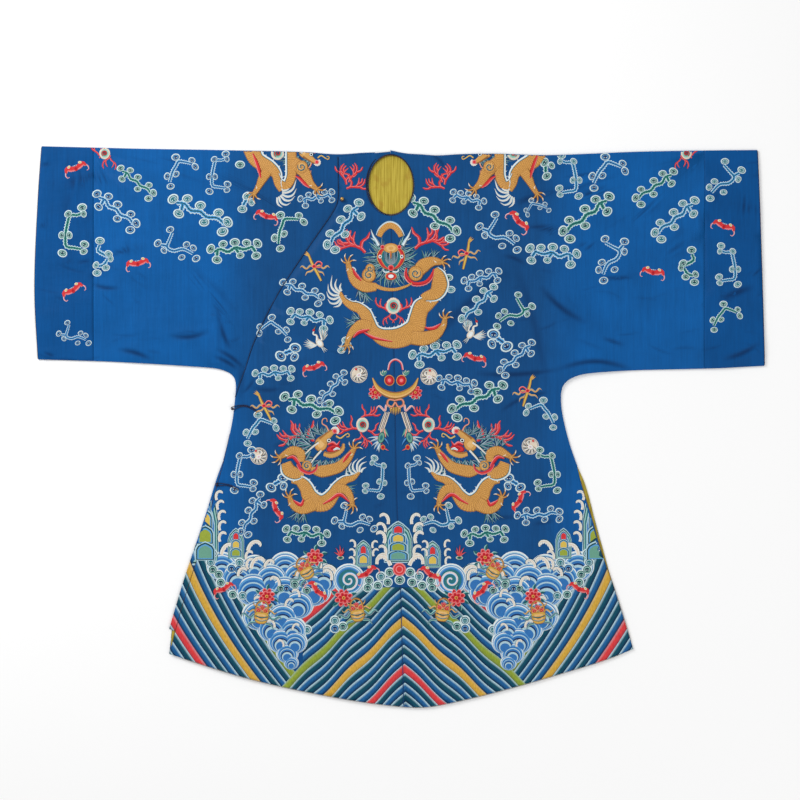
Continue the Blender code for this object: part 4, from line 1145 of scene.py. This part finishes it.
def coil(work, put, spine, widths, back, base=0.3, gap=17, line=3.1):
    """A length of scaled body, with the pale line of its back on the left (1) or right (-1)."""
    strip(work, put, spine, [wide + 0.3 for wide in widths], (GOLD_DARK, GOLD, GOLD_DARK), 0.4, base - 0.15,
          COUCHED, frill=1.6, pitch=5)
    strip(work, put, spine, widths, GILT, 0.7, base, SCALED)
    if not back:
        return
    path, length = smooth_path(spine, 80)
    wide = np.interp(np.linspace(0, 1, 80), np.linspace(0, 1, len(widths)), widths)
    side = back * sides_of(path)
    edge = path + side * (wide + 1.2)[:, None]
    tints = (WHITE, WHITE, ICE, PINE)[::back]
    strip(work, put, edge[::5], (1.0, line, line, line, line * 0.8, 1.0), tints, 0.6, base + 0.55)
    count = max(3, int(length / gap))
    for i in range(1, count):
        spot = int(80 * i / count)
        lean = math.degrees(math.atan2(side[spot][1], side[spot][0])) + back * 24
        blade(work, put, *(edge[spot]), lean, 7.0, 1.7, (WHITE, WHITE, ICE), base=base + 0.5)


def claw(work, put, base=0.6):
    disc(work, put, 0, 0, 6.5, 6, (GOLD_DARK, GOLD), (0.75,), 0, 12, lift=0.5, base=base, cover=COUCHED)
    for lean, reach in TALONS:
        here = at(0, 0, lean, parent=put)
        strip(work, here, [(1, 0), (reach * 0.5, 1.6), (reach * 0.85, 1.0)], (2.6, 2.5, 1.7),
              (GOLD_DARK, GOLD, GOLD_DARK), 0.5, base + 0.1, COUCHED)
        blade(work, here, reach * 0.8, 1, -14, 9, 1.9, (WHITE, CREAM, GOLD), -3, base + 0.15)


def leg(work, put, spine, widths, turn, base=0.6, flush=None):
    """A leg from the body to its claw, with the red flare on its inner side."""
    coil(work, put, spine, widths, 0, base)
    claw(work, at(*spine[-1], turn, parent=put), base + 0.2)
    if flush:
        strip(work, put, flush, (1.0, 4.2, 4.6, 1.2), (PINK, RED, RED, CRIMSON), 0.5, base + 0.6, frill=0.9,
              pitch=7)


def shoulder(work, put, x, y, radius, sense, base=0.7):
    disc(work, put, x, y, radius, radius * 1.05, (GOLD_DARK, GOLD, GOLD_PALE, GOLD), (0.88, 0.6, 0.3), 0, 22,
         lift=0.7, base=base, cover=SCALED)
    strip(work, put, spiral_rows(x, y, radius * 0.66, 1.25, 30, 0.2, sense), (0.8, 2.0, 1.6),
          (TEAL, PINE, GREY), 0.4, base + 0.75)


def front_face(work, put):
    """A dragon's head seen from the front, in a ring of spiky hair."""
    for ring, (start, reach, wide) in enumerate(((40, 27, 2.6), (33, 24, 2.4), (26, 20, 2.2))):
        count = 44 - 6 * ring
        for i in range(count):
            turn = 122 + 296 * i / (count - 1)
            low = 1.10 if 215 < turn < 325 else 1.0
            a = math.radians(turn)
            blade(work, put, start * low * math.cos(a), start * low * math.sin(a) - 2,
                  turn + 14 * (i % 3 - 1),
                  reach * (0.85 + 0.3 * (i % 2)), wide, HAIR[(i + ring) % 4], 6 * (1 if i % 2 else -1),
                  0.15 + 0.22 * ring + 0.06 * (i % 3))
    disc(work, put, 0, 4, 31, 36, (PINE, TEAL, GREY), (0.9, 0.5), 0, 24, lift=0.4, base=0.6)
    crest = [(-29, 56), (-22, 72), (-6, 84), (10, 80), (21, 66), (25, 56)]
    strip(work, put, crest, (6.0, 8.0, 8.5, 8.0, 7.5, 6.0), GILT[:7], 0.8, 0.8, SCALED)
    strip(work, put, beside(crest[::-1], -8.8), (0.8, 2.0, 2.2, 2.0, 0.8), (WHITE, ICE), 0.5, 1.2)
    for side in (-1, 1):
        strip(work, put, [(side * 30, 34), (side * 37, 47), (side * 44, 58), (side * 50, 74)],
              (5.4, 4.2, 2.8, 0.4),
              (ICE, WHITE, GREY), 0.8, 1.2)
        blade(work, put, side * 38, 46, 90 - side * 62, 15, 2.2, (ICE, WHITE, GREY), base=1.2)
        strip(work, put, [(side * 17, 28), (side * 27, 16), (side * 29, 0), (side * 20, -16),
                          (side * 8, -25)],
              (3.5, 6.4, 6.2, 5.2, 2.0), (GOLD, RED, RED, CRIMSON, GOLD)[::-side], 0.8, 1.0)
        disc(work, put, side * 27, 6, 4.4, 5.2, (WHITE, WHITE, INK), (0.7, 0.45), 0, 12, lift=0.6, base=1.9)
        disc(work, put, side * 21, 30, 5.6, 5.6, (PINK, RED, CRIMSON), (0.7, 0.4), 0, 12, lift=0.6, base=1.7)
        strip(work, put, [(side * 4, -31), (side * 13, -33), (side * 20, -28), (side * 17, -24)],
              (2.4, 2.6, 1.8, 0.8),
              (WHITE, ICE), 0.5, 1.9)
    disc(work, put, 0, 27, 20, 13, (GOLD_DARK, GOLD, GOLD_PALE, GOLD), (0.9, 0.6, 0.3), 0, 22, lift=0.9,
         base=1.3,
         cover=COUCHED)
    for i in range(7):
        x = -15 + 5 * i
        blade(work, put, x, 19, -90, 31 - abs(x) * 0.5, 2.7, HAIR[i % 4], base=1.35)
    strip(work, put, [(0, 20), (0, 8), (0, 0)], (2.2, 2.6, 0.6), (GOLD_DARK, GOLD, RED), 0.5, 1.8)
    disc(work, put, 0, -22, 8, 8, (PINK, RED, CRIMSON), (0.78, 0.4), 0, 16, lift=1.0, base=1.8)
    disc(work, put, 0, -43, 15, 10, (GOLD, RED, CRIMSON, WHITE), (0.86, 0.6, 0.46), 0, 20, lift=0.8, base=1.4)


def side_head(work, put):
    """A dragon's head in profile, looking up to the right."""
    for x, y, turn, length in ((-20, 14, 140, 36), (-28, 0, 168, 42), (-30, -14, 205, 44),
                               (-22, -30, 218, 38),
                               (-8, -34, 245, 30), (4, -34, 268, 28), (18, -34, 275, 28), (32, -30, 290, 26),
                               (-40, 16, 150, 34), (-10, 24, 125, 30), (2, 18, 110, 24), (10, 26, 125, 18)):
        tuft(work, put, x, y, turn, length, 9, 84)
    strip(work, put, [(0, -20), (16, -23), (32, -18), (43, -8), (45, 3)], (4.5, 6.5, 6.5, 5, 2),
          (GOLD_DARK, GOLD, GOLD), 0.6, 0.6, COUCHED, frill=1.4, pitch=6)
    disc(work, put, 22, -8, 16, 8, (CRIMSON, RED, CRIMSON), (0.8, 0.4), 14, 16, lift=0.5, base=0.7)
    disc(work, put, -6, 2, 15, 18, (GOLD_DARK, GOLD, GOLD_PALE), (0.88, 0.5), -24, 20, lift=0.8, base=0.8,
         cover=COUCHED)
    strip(work, put, [(-4, 8), (6, 18), (16, 27), (24, 32)], (12, 9.5, 7.5, 5.5),
          (GOLD_DARK, GOLD, GOLD, GOLD),
          0.8, 0.9, COUCHED)
    strip(work, put, [(10, 0), (20, 4), (30, -1), (37, 9)], (2.6, 4.4, 3.4, 0.6), (PINK, RED, CRIMSON), 0.5,
          1.1)
    strip(work, put, [(22, -12), (30, -8), (37, -10)], (1.6, 3.4, 1.4), (WHITE, ICE, WHITE), 0.4, 1.2)
    disc(work, put, 12, 10, 5.8, 5.2, (PINE, WHITE, INK), (0.78, 0.45), 0, 14, lift=0.5, base=1.5)
    for i in range(8):
        a = math.radians(-40 + 32 * i)
        disc(work, put, 26 + 7 * math.cos(a), 32 + 7 * math.sin(a), 3.2, 3.0, (WHITE, CREAM), (0.6,), 0, 8,
             lift=0.5,
             base=1.0)
    disc(work, put, 25, 31, 6, 6, (PINK, RED), (0.6,), 0, 12, lift=0.6, base=1.5)
    for row in ([(-12, 6), (-28, -6), (-46, -24)], [(-6, -12), (-20, -28), (-33, -46)]):
        strip(work, put, row, (3.4, 3.2, 2.6, 1.0), (WHITE, CREAM, PINE), 0.7, 1.1)
    strip(work, put, [(12, 30), (6, 42), (-3, 48), (-2, 58), (6, 60), (8, 52)], (1.8, 1.4, 1.2, 0.9),
          (GOLD_PALE, PINK),
          0.5, 0.8)
    strip(work, put, [(28, 20), (38, 15), (48, 22), (56, 26), (58, 19), (52, 18)], (1.8, 1.6, 1.3, 1.0),
          (GOLD_PALE, LEMON), 0.5, 0.8)


# Long curved fins at the tip of a tail
FINS = (
    [(6, -18), (-2, -32), (-16, -36)], [(3, -14), (-8, -26), (-22, -26), (-30, -16)],
    [(1, -10), (-14, -16), (-27, -11), (-33, 3)], [(-1, -6), (-16, -6), (-27, 4), (-29, 22)],
    [(0, -2), (-12, 4), (-21, 18), (-19, 43)], [(2, 2), (-7, 9), (-11, 20), (-7, 35)],
    [(5, 4), (1, 13), (4, 24)],
)


def tail_fin(work, put, size=1.0, base=0.5):
    """White fins that sweep back from the tip of the tail."""
    for i, row in enumerate(FINS):
        strip(work, put, [(x * size, y * size) for x, y in row], (2.6, 3.1, 2.2, 0.3), (WHITE, CREAM, ICE),
              0.45,
              base + 0.05 * i)


def chest_dragon():
    work, put = Stitches("chest_dragon"), at(0, 0)
    for x, y, turn, length in ((62, 412, 70, 34), (82, 420, 64, 28), (-104, 342, -64, 34),
                               (-88, 338, -80, 34),
                               (-108, 262, 176, 32), (-100, 270, 150, 26), (88, 228, -66, 26),
                               (70, 220, -40, 22)):
        tuft(work, put, x, y, turn, length)
    tail_fin(work, at(-150, 336, 0, parent=put))
    coil(work, put, [(92, 322), (71, 310), (53, 297), (46, 276), (40, 252), (20, 232), (-8, 222), (-38, 224),
                     (-62, 237), (-75, 258), (-84, 279), (-99, 296), (-119, 303), (-138, 316), (-149, 337)],
         (9, 17, 21, 20, 23, 25, 25, 24, 21, 15, 14, 15, 13, 10, 6, 3), -1, 0.5)
    coil(work, put, [(88, 396), (98, 378), (99, 352), (88, 334), (66, 327), (56, 322)],
         (6, 15, 20, 18, 13, 8), 1, 1.2)
    strip(work, put, [(-92, 238), (-66, 224), (-40, 218), (-18, 214)], (1.4, 4.4, 3.4, 0.8),
          (PINK, RED, CRIMSON), 0.5,
          1.3, frill=0.6, pitch=8)
    leg(work, put, [(-72, 252), (-96, 256), (-114, 244), (-126, 226), (-132, 208)], (13, 13, 10, 7, 5), -90,
        1.4,
        [(-116, 224), (-104, 236), (-92, 240), (-76, 244)])
    leg(work, put, [(30, 224), (62, 222), (90, 232), (108, 252), (113, 270)], (17, 18, 15, 9, 5), 84, 1.4,
        [(62, 250), (74, 246), (88, 248), (102, 258)])
    leg(work, put, [(-58, 350), (-88, 352), (-112, 368), (-124, 390), (-129, 409)], (9, 14, 14, 9, 5), 96,
        0.9,
        [(-118, 398), (-112, 384), (-104, 374), (-96, 366)])
    strip(work, put, [(16, 398), (16, 376), (34, 358), (62, 360), (78, 374), (86, 396)],
          (2.0, 5.0, 5.0, 5.0, 5.0, 1.0),
          (RED, RED, CRIMSON, PINK), 0.6, 1.3, frill=1.0, pitch=8)
    leg(work, put, [(44, 386), (60, 404), (82, 414), (104, 412)], (14, 17, 12, 6), 4, 1.6)
    shoulder(work, put, -77, 380, 18, 1, 1.8)
    shoulder(work, put, -74, 396, 12, -1, 1.6)
    shoulder(work, put, 40, 384, 19, -1, 2.2)
    strip(work, put, [(-66, 356), (-42, 346), (-12, 344), (16, 352), (30, 360)], (6, 4.6, 4.2, 3.6, 2),
          GILT[:5], 0.7, 1.5, SCALED)
    front_face(work, at(-22, 420))
    pearl(work, put, -16, 303, 19, 21)
    for x, y, turn, size, flip in ((-30, 290, -6, .85, 1), (-2, 288, 6, .9, 0), (-22, 284, 196, .66, 0),
                                   (-10, 284, 164, .66, 1)):
        fire(work, put, x, y, turn, size, bool(flip), count=3)
    for x, y, turn, size, flip in ((-86, 436, -8, 1.4, 1), (-112, 452, 30, 1.0, 1), (38, 446, 4, 1.45, 0),
                                   (74, 466, -44, 1.0, 0)):
        fire(work, put, x, y, turn, size, bool(flip))
    return work


def skirt_dragon(work, put):
    for x, y, turn, length in ((-262, -50, 96, 34), (-276, -48, 110, 26), (-250, -206, 232, 36),
                               (-238, -210, 250, 34),
                               (-140, -146, -30, 34), (-136, -152, -60, 30), (-136, -112, 10, 26)):
        tuft(work, put, x, y, turn, length)
    tail_fin(work, at(-102, -112, -48, .92, parent=put))
    coil(work, put, [(-270, -131), (-250, -134), (-234, -152), (-225, -172), (-208, -188), (-186, -188),
                     (-168, -170),
                     (-154, -148), (-136, -132), (-116, -126), (-101, -112)],
         (8, 13, 16, 19, 21, 20, 16, 13, 10, 7, 3), 1, 0.5)
    coil(work, put, [(-284, -88), (-276, -108), (-258, -116), (-240, -114)], (12, 17, 15, 6), -1, 1.0)
    leg(work, put, [(-214, -190), (-244, -203), (-266, -194), (-275, -176)], (18, 15, 10, 5), 100, 1.2,
        [(-266, -182), (-256, -190), (-246, -194), (-240, -180)])
    leg(work, put, [(-156, -152), (-136, -156), (-124, -172), (-118, -192)], (12, 11, 8, 5), -108, 1.2,
        [(-192, -192), (-174, -182), (-150, -168), (-126, -186)])
    leg(work, put, [(-246, -86), (-248, -66), (-266, -58), (-284, -66), (-298, -74)], (8, 12, 11, 9, 5), 204,
        1.3,
        [(-282, -78), (-268, -74), (-258, -82), (-246, -100)])
    leg(work, put, [(-222, -106), (-198, -110), (-172, -106), (-150, -98), (-130, -78), (-114, -54)],
        (6, 15, 14, 13, 10, 5), 76, 1.1, [(-142, -88), (-134, -76), (-128, -68), (-122, -62)])
    strip(work, put, [(-256, -92), (-246, -106), (-226, -114), (-210, -106), (-206, -92)],
          (2, 5.5, 4.6, 3.6, 1),
          (PLUM, RED, RED, PINK), 0.6, 1.9, frill=0.8, pitch=8)
    shoulder(work, put, -232, -96, 13, 1, 1.6)
    side_head(work, at(-190, -44, 0, 1.1, parent=put))
    for x, y, turn, size, flip in ((-214, -34, 6, 1.35, 1), (-244, -18, 44, 1.2, 1), (-106, -4, 30, 1.0, 1),
                                   (-96, 24, -8, .9, 0), (-80, -8, -60, .9, 0), (-98, -12, 150, .8, 1)):
        fire(work, put, x, y, turn, size, bool(flip))
    pearl(work, put, -93, 6, 16, 19)


def shoulder_dragon(work, put):
    """What shows of a dragon that runs on over the shoulder."""
    tuft(work, put, 236, 650, 200, 34)
    tail_fin(work, at(272, 588, 24, parent=put))
    coil(work, put, [(352, 700), (336, 668), (306, 650), (288, 632), (284, 608), (276, 590)],
         (20, 19, 17, 14, 9, 4), -1,
         0.6)
    coil(work, put, [(250, 706), (249, 664), (250, 626), (262, 604), (280, 612), (290, 640)],
         (11, 12, 12, 11, 9, 5), 1,
         1.0)
    leg(work, put, [(310, 640), (322, 620), (332, 600), (342, 584)], (13, 11, 7, 5), -60, 1.4,
        [(346, 684), (336, 660), (330, 640), (326, 622)])
    leg(work, put, [(246, 664), (220, 640), (204, 612), (188, 596)], (14, 16, 11, 5), 216, 1.5,
        [(240, 628), (228, 620), (214, 606), (204, 598)])
    side_head(work, at(212, 690, 176, .95, parent=put))
    shoulder(work, put, 224, 650, 16, -1, 2.0)
    for x, y, turn, size, flip in ((112, 596, 16, 1.0, 1), (106, 612, -30, .95, 1), (112, 606, 40, 1.0, 0)):
        fire(work, put, x, y, turn, size, bool(flip))
    pearl(work, put, 284, 684, 17, 17)
    pearl(work, put, 716, 684, 14, 15)
    for turn, size, flip in ((20, .7, 0), (-30, .6, 1), (160, .7, 1), (205, .6, 0)):
        fire(work, put, 716 + 15 * math.cos(math.radians(turn)), 676 + 8 * math.sin(math.radians(turn)),
             turn, size,
             bool(flip), count=2)


# ---------------------------------------------------------------- emblems, birds and flowers

def ribbons(work, put, tones=(WHITE, ICE, GREY)):
    for side in (-1, 1):
        strip(work, put, [(0, 0), (side * 12, 6), (side * 22, -2), (side * 33, 5), (side * 39, 0)],
              (1.5, 3.0, 2.4, 2.8, 0.5), tones, 0.5, 0.5)
        strip(work, put, [(0, 0), (side * 9, -9), (side * 20, -12), (side * 25, -21)], (1.5, 2.8, 2.4, 0.5),
              tones[::-1], 0.5, 0.4)


def wrapped_rod(work, put):
    """A gold rod tied with a red loop and pale ribbons."""
    ribbons(work, put, (GOLD_PALE, GOLD, GREY))
    strip(work, put, [(-16, 34), (-8, 14), (6, -12), (17, -34)], (3.0, 4.2, 4.2, 2.8),
          (GOLD_DARK, LEMON, OCHRE), 0.8,
          0.7, COUCHED)
    strip(work, put, [(-3, 4), (8, 16), (18, 12), (14, 2), (2, 2)], (1.8, 2.2, 1.6), (PINK, RED), 0.6, 1.2)
    disc(work, put, -2, 4, 6.5, 5.2, (PINK, RED, CRIMSON), (0.75, 0.4), 0, 12, lift=0.7, base=1.4)
    for lean in (112, 128, 146):
        blade(work, put, -14, 30, lean, 17, 2.6, (GOLD_PALE, GOLD, OCHRE), 3, 0.8)


def basket(work, put):
    """A gold basket of flowers with a red band and ribbons."""
    ribbons(work, at(0, -6, 0, 1.1, parent=put), (MIST, TEAL, GREY))
    ribbons(work, at(0, 8, 180, .8, parent=put), (GOLD_PALE, GOLD, TEAL))
    patch(work, put, [(-15, 4), (0, 6), (15, 4), (12, -16), (0, -20), (-12, -16)],
          (GOLD_DARK, OCHRE, GOLD_PALE, GOLD), (0.88, 0.6, 0.3), 0.7, 0.8, COUCHED, sides=20)
    strip(work, put, [(-13, -3), (0, -6), (13, -3)], (1.2, 1.6, 1.2), (TEAL, PINE), 0.5, 1.5)
    strip(work, put, [(-12, -10), (0, -13), (12, -10)], (1.0, 1.4, 1.0), (GREY, TEAL), 0.5, 1.4)
    strip(work, put, [(-14, 4), (-11, 22), (0, 29), (11, 22), (14, 4)], (1.8, 1.8, 1.8), (GOLD_DARK, GOLD),
          0.5, 0.8)
    for x, y in ((-7, 8), (7, 8), (0, 14)):
        peony(work, at(x, y, 20 * x, parent=put), 7)


def medallion(work, put):
    """A crane curled into a round."""
    disc(work, put, 0, 0, 22, 22, (CREAM, GREY, CREAM), (0.9, 0.82), 0, 24, lift=0.4)
    for i in range(14):
        turn = 200 + 17 * i
        a = math.radians(turn)
        blade(work, put, 8 * math.cos(a), 8 * math.sin(a), turn + 22, 13, 2.6,
              ((WHITE, CREAM, INK), (INK, GREY, CREAM))[i % 2],
              2.0, 0.7)
    disc(work, put, 0, -2, 9, 6.5, (CREAM, WHITE, BLUSH), (0.7, 0.4), 30, 14, lift=0.8, base=0.8)
    strip(work, put, [(5, 2), (10, 9), (3, 15), (-6, 13)], (3.0, 2.4, 2.2, 2.0), (WHITE, CREAM, INK), 0.6,
          1.2)
    disc(work, put, -7, 13, 3, 3, (RED,), (), 0, 8, lift=0.6, base=1.6)


def crane(work, put):
    """A white crane in flight, with dark wing tips."""
    for side, start in ((1, 28), (-1, 152)):
        for i in range(7):
            turn = start + side * (i - 3) * 11
            blade(work, put, side * (3 + i), 2, turn, 30 - 2.2 * abs(i - 3), 2.8,
                  ((WHITE, CREAM, GREY), (WHITE, ICE, INK))[i % 2], side * 4, 0.3 + 0.05 * i)
    for lean in (-104, -90, -76):
        blade(work, put, 0, -6, lean, 18, 2.4, (INK, GREY, WHITE), base=0.4)
    disc(work, put, 0, 0, 7, 11, (CREAM, WHITE), (0.6,), 0, 16, lift=0.9, base=0.7)
    strip(work, put, [(0, 8), (5, 17), (1, 24), (7, 29)], (3.4, 2.2, 1.8, 1.6), (WHITE, CREAM), 0.7, 1.0)
    disc(work, put, 7, 30, 3, 2.8, (RED, CRIMSON), (0.5,), 0, 8, lift=0.6, base=1.4)
    blade(work, put, 8, 30, 30, 9, 1.0, (OCHRE, INK), base=1.3)


def diving_bird(work, put):
    for gap in (-4, 4):
        strip(work, put, [(-20 + gap, 38), (-27 + gap, 18), (-36 + gap, -8)], (2.6, 3.4, 3.0),
              (CREAM, CREAM, INK, CREAM),
              0.6, 0.4)
    for i, lean in enumerate((-112, -98, -84, -70)):
        blade(work, put, -32 + 2 * i, -4, lean, 22, 3.4, ((GOLD, PINK, CREAM), (TEAL, SAGE, MIST))[i % 2], 2,
              0.7)
    disc(work, put, -35, -26, 9, 16, (PINE, SAGE, TEAL), (0.8, 0.4), -14, 16, lift=0.9, base=0.9)
    for i in range(6):
        blade(work, put, -38, -24 - 4 * i, 172 + 13 * i, 32 - 3 * i, 2.8,
              ((WHITE, ICE, AZURE), (ICE, GREY, WHITE))[i % 2],
              7, 0.6 + 0.06 * i)
    blade(work, put, -30, -26, -42, 24, 3.2, (SKY, AZURE, NAVY), -5, 0.8)
    disc(work, put, -31, -50, 6, 7, (OCHRE, RED, CRIMSON), (0.8, 0.45), 0, 14, lift=0.9, base=1.3)
    blade(work, put, -27, -53, -28, 12, 1.8, (RED, PINK), base=1.4)


def chest_emblem(work):
    """Two peaches on a gold crescent, with flowers, knots and ribbons, above a pair of diving birds."""
    put = at(-11, 117)
    strip(work, put, [(-57, 6), (-45, -18), (-23, -33), (0, -38), (23, -33), (45, -18), (57, 6)],
          (1.5, 6.5, 8.6, 9.2, 8.6, 6.5, 1.5), (GOLD_DARK, OCHRE, GOLD, GOLD_PALE, GOLD_DARK), 0.9, 0.6,
          COUCHED)
    strip(work, put, [(-18, 26), (-13, 44), (0, 52), (14, 44), (19, 26)], (2.4, 2.8, 2.4),
          (BLUSH, PINK, RED), 0.6, 0.4)
    for side in (-1, 1):
        disc(work, put, side * 15, 0, 13, 14, (GOLD, CRIMSON, RED, PINK), (0.86, 0.55, 0.3), side * -12, 18,
             lift=1.0,
             base=0.7)
        for lean in (60, 95, 130):
            leaf(work, at(side * 28, 12, parent=put), 0, 0, lean, 1.1, (CREAM, SAGE, TEAL))
        peony(work, at(side * 50, -30, 15, parent=put), 17)
        for lean in (200, 250, 300):
            leaf(work, at(side * 50, -32, parent=put), 0, 0, lean, 1.4, (CREAM, SAGE, PINE))
        strip(work, put, [(side * 8, -70), (side * 22, -62), (side * 26, -76), (side * 40, -64),
                          (side * 48, -72)],
              (2.2, 3.0, 2.6, 2.8, 0.6), (CREAM, PINK, BLUSH), 0.6, 0.6)
        strip(work, put, [(0, -50), (side * 16, -48), (side * 20, -60), (side * 8, -66), (0, -54)],
              (2.6, 3.0, 2.6),
              (GOLD, PINK, GOLD_DARK), 0.7, 0.9, COUCHED)
        diving_bird(work, at(-11, 0, flip=side > 0))
    for i in range(7):
        x = -12 + 4 * i
        blade(work, put, x, -66, -90, 22 - abs(x) * 0.5, 1.8, (GOLD_DARK, GOLD, LEMON), base=0.8)


def sprig(work, put):
    disc(work, put, 0, -10, 9, 5, (CREAM, SAGE, PINE), (0.8, 0.5), 0, 14, lift=0.6)
    for turn, length in ((60, 22), (84, 28), (108, 24), (134, 18), (38, 16)):
        blade(work, put, 0, -6, turn, length, 2.4, (PINK, RED, CRIMSON), 4, 0.6)


# Across, up, turn, size, flip
RODS = ((-212, 398, 0, .95, 0), (166, 430, 14, .95, 1), (-337, 50, 0, .95, 0), (318, 87, 10, .95, 1))
ROUNDS = ((-102, 132, 0, 1, 0), (73, 127, 20, 1, 1), (-352, -72, 0, 1, 0), (326, -47, 0, 1, 1))
CRANES = ((-200, 210, 38, 1.15, 0), (177, 232, -38, 1.15, 1))
PEONIES = ((-140, -426, 23), (-332, -422, 21), (-212, -325, 22))
BASKETS = ((-106, -462, 8, 1.2), (-345, -468, -6, 1.2), (-234, -358, 30, 1.15))


def joins():
    """The pressed join down the middle of the front, and a dark band along the left and lower edge of the neck
    binding.
    """
    work = Stitches("pressed_joins")
    neck = [(-23 + 60 * math.cos(math.radians(a)),
             609 + 77.5 * math.sin(math.radians(a))) for a in range(128, 318, 10)]
    strip(work, at(0, 0), neck, (0.8, 2.2, 3.4, 4.4, 4.6, 3.2, 0.8), (INK, INK, INK, SEAM_SHADE), 0.8)
    strip(work, at(0, 0), [(-21, 526), (-17, 300), (-12, 100), (-8, -150), (2, -400), (10, -694)], (1.1, 1.1),
          (SEAM_SHADE, SEAM_SHADE), 0.12)
    return work


def small_things():
    gilt, birds, blooms = Stitches("gilt_emblems"), Stitches("birds"), Stitches("flowers_and_baskets", 0.0016)
    for x, y, turn, size, flip in RODS:
        wrapped_rod(gilt, at(x, y, turn, size, bool(flip)))
    chest_emblem(gilt)
    for table, draw in ((ROUNDS, medallion), (CRANES, crane)):
        for x, y, turn, size, flip in table:
            draw(birds, at(x, y, turn, size, bool(flip)))
    for row in PEONIES:
        for (x, y, radius), flipped in both_sides(row):
            for lean in (20, 80, 150, 215, 290, 335):
                leaf(blooms, at(x, y), radius * 0.7 * math.cos(math.radians(lean)),
                     radius * 0.7 * math.sin(math.radians(lean)), lean, radius / 16)
            peony(blooms, at(x, y, 20), radius)
    for row in BASKETS:
        for (x, y, turn, size), flipped in both_sides(row):
            basket(blooms, at(x, y, -turn if flipped else turn, size, flipped))
    for (x, y), flipped in both_sides((-148, -316)):
        sprig(blooms, at(x, y, 0, 1, flipped))
    return gilt, birds, blooms


# ---------------------------------------------------------------- all the stitching

def embroider(shells):
    tree = ground_of(shells)
    threads = thread_relief()
    finishes = (stitch_finish("satin_stitch", threads, SATIN_PITCH, 0.55, 0.16),
                stitch_finish("couched_gold", threads, GOLD_PITCH, 0.46, 0.3),
                stitch_finish("scaled_gold", threads, GOLD_PITCH, 0.46, 0.3, scales=True))
    works = [joins()]
    for name, table in (("sleeve_clouds", SLEEVE_CLOUDS), ("body_clouds", BODY_CLOUDS)):
        work = Stitches(name)
        for row in table:
            cloud(work, row)
        works.append(work)
    for name, rise, low in (("bats", 0.0, False), ("hem_bats", 0.0018, True)):
        work = Stitches(name, rise)
        for row in BATS:
            if (row[1] < BORDER_TOP) == low:
                bat(work, row)
        works.append(work)
    works.append(chest_dragon())
    for name, draw in (("skirt_dragons", skirt_dragon), ("shoulder_dragons", shoulder_dragon)):
        work = Stitches(name)
        draw(work, at(0, 0))
        draw(work, at(DRAGON_MIRROR, 0, flip=True))
        works.append(work)
    works += small_things()
    works += border()
    for work in works:
        drop(work, tree, finishes)


studio()
shells = dress()
embroider(shells)
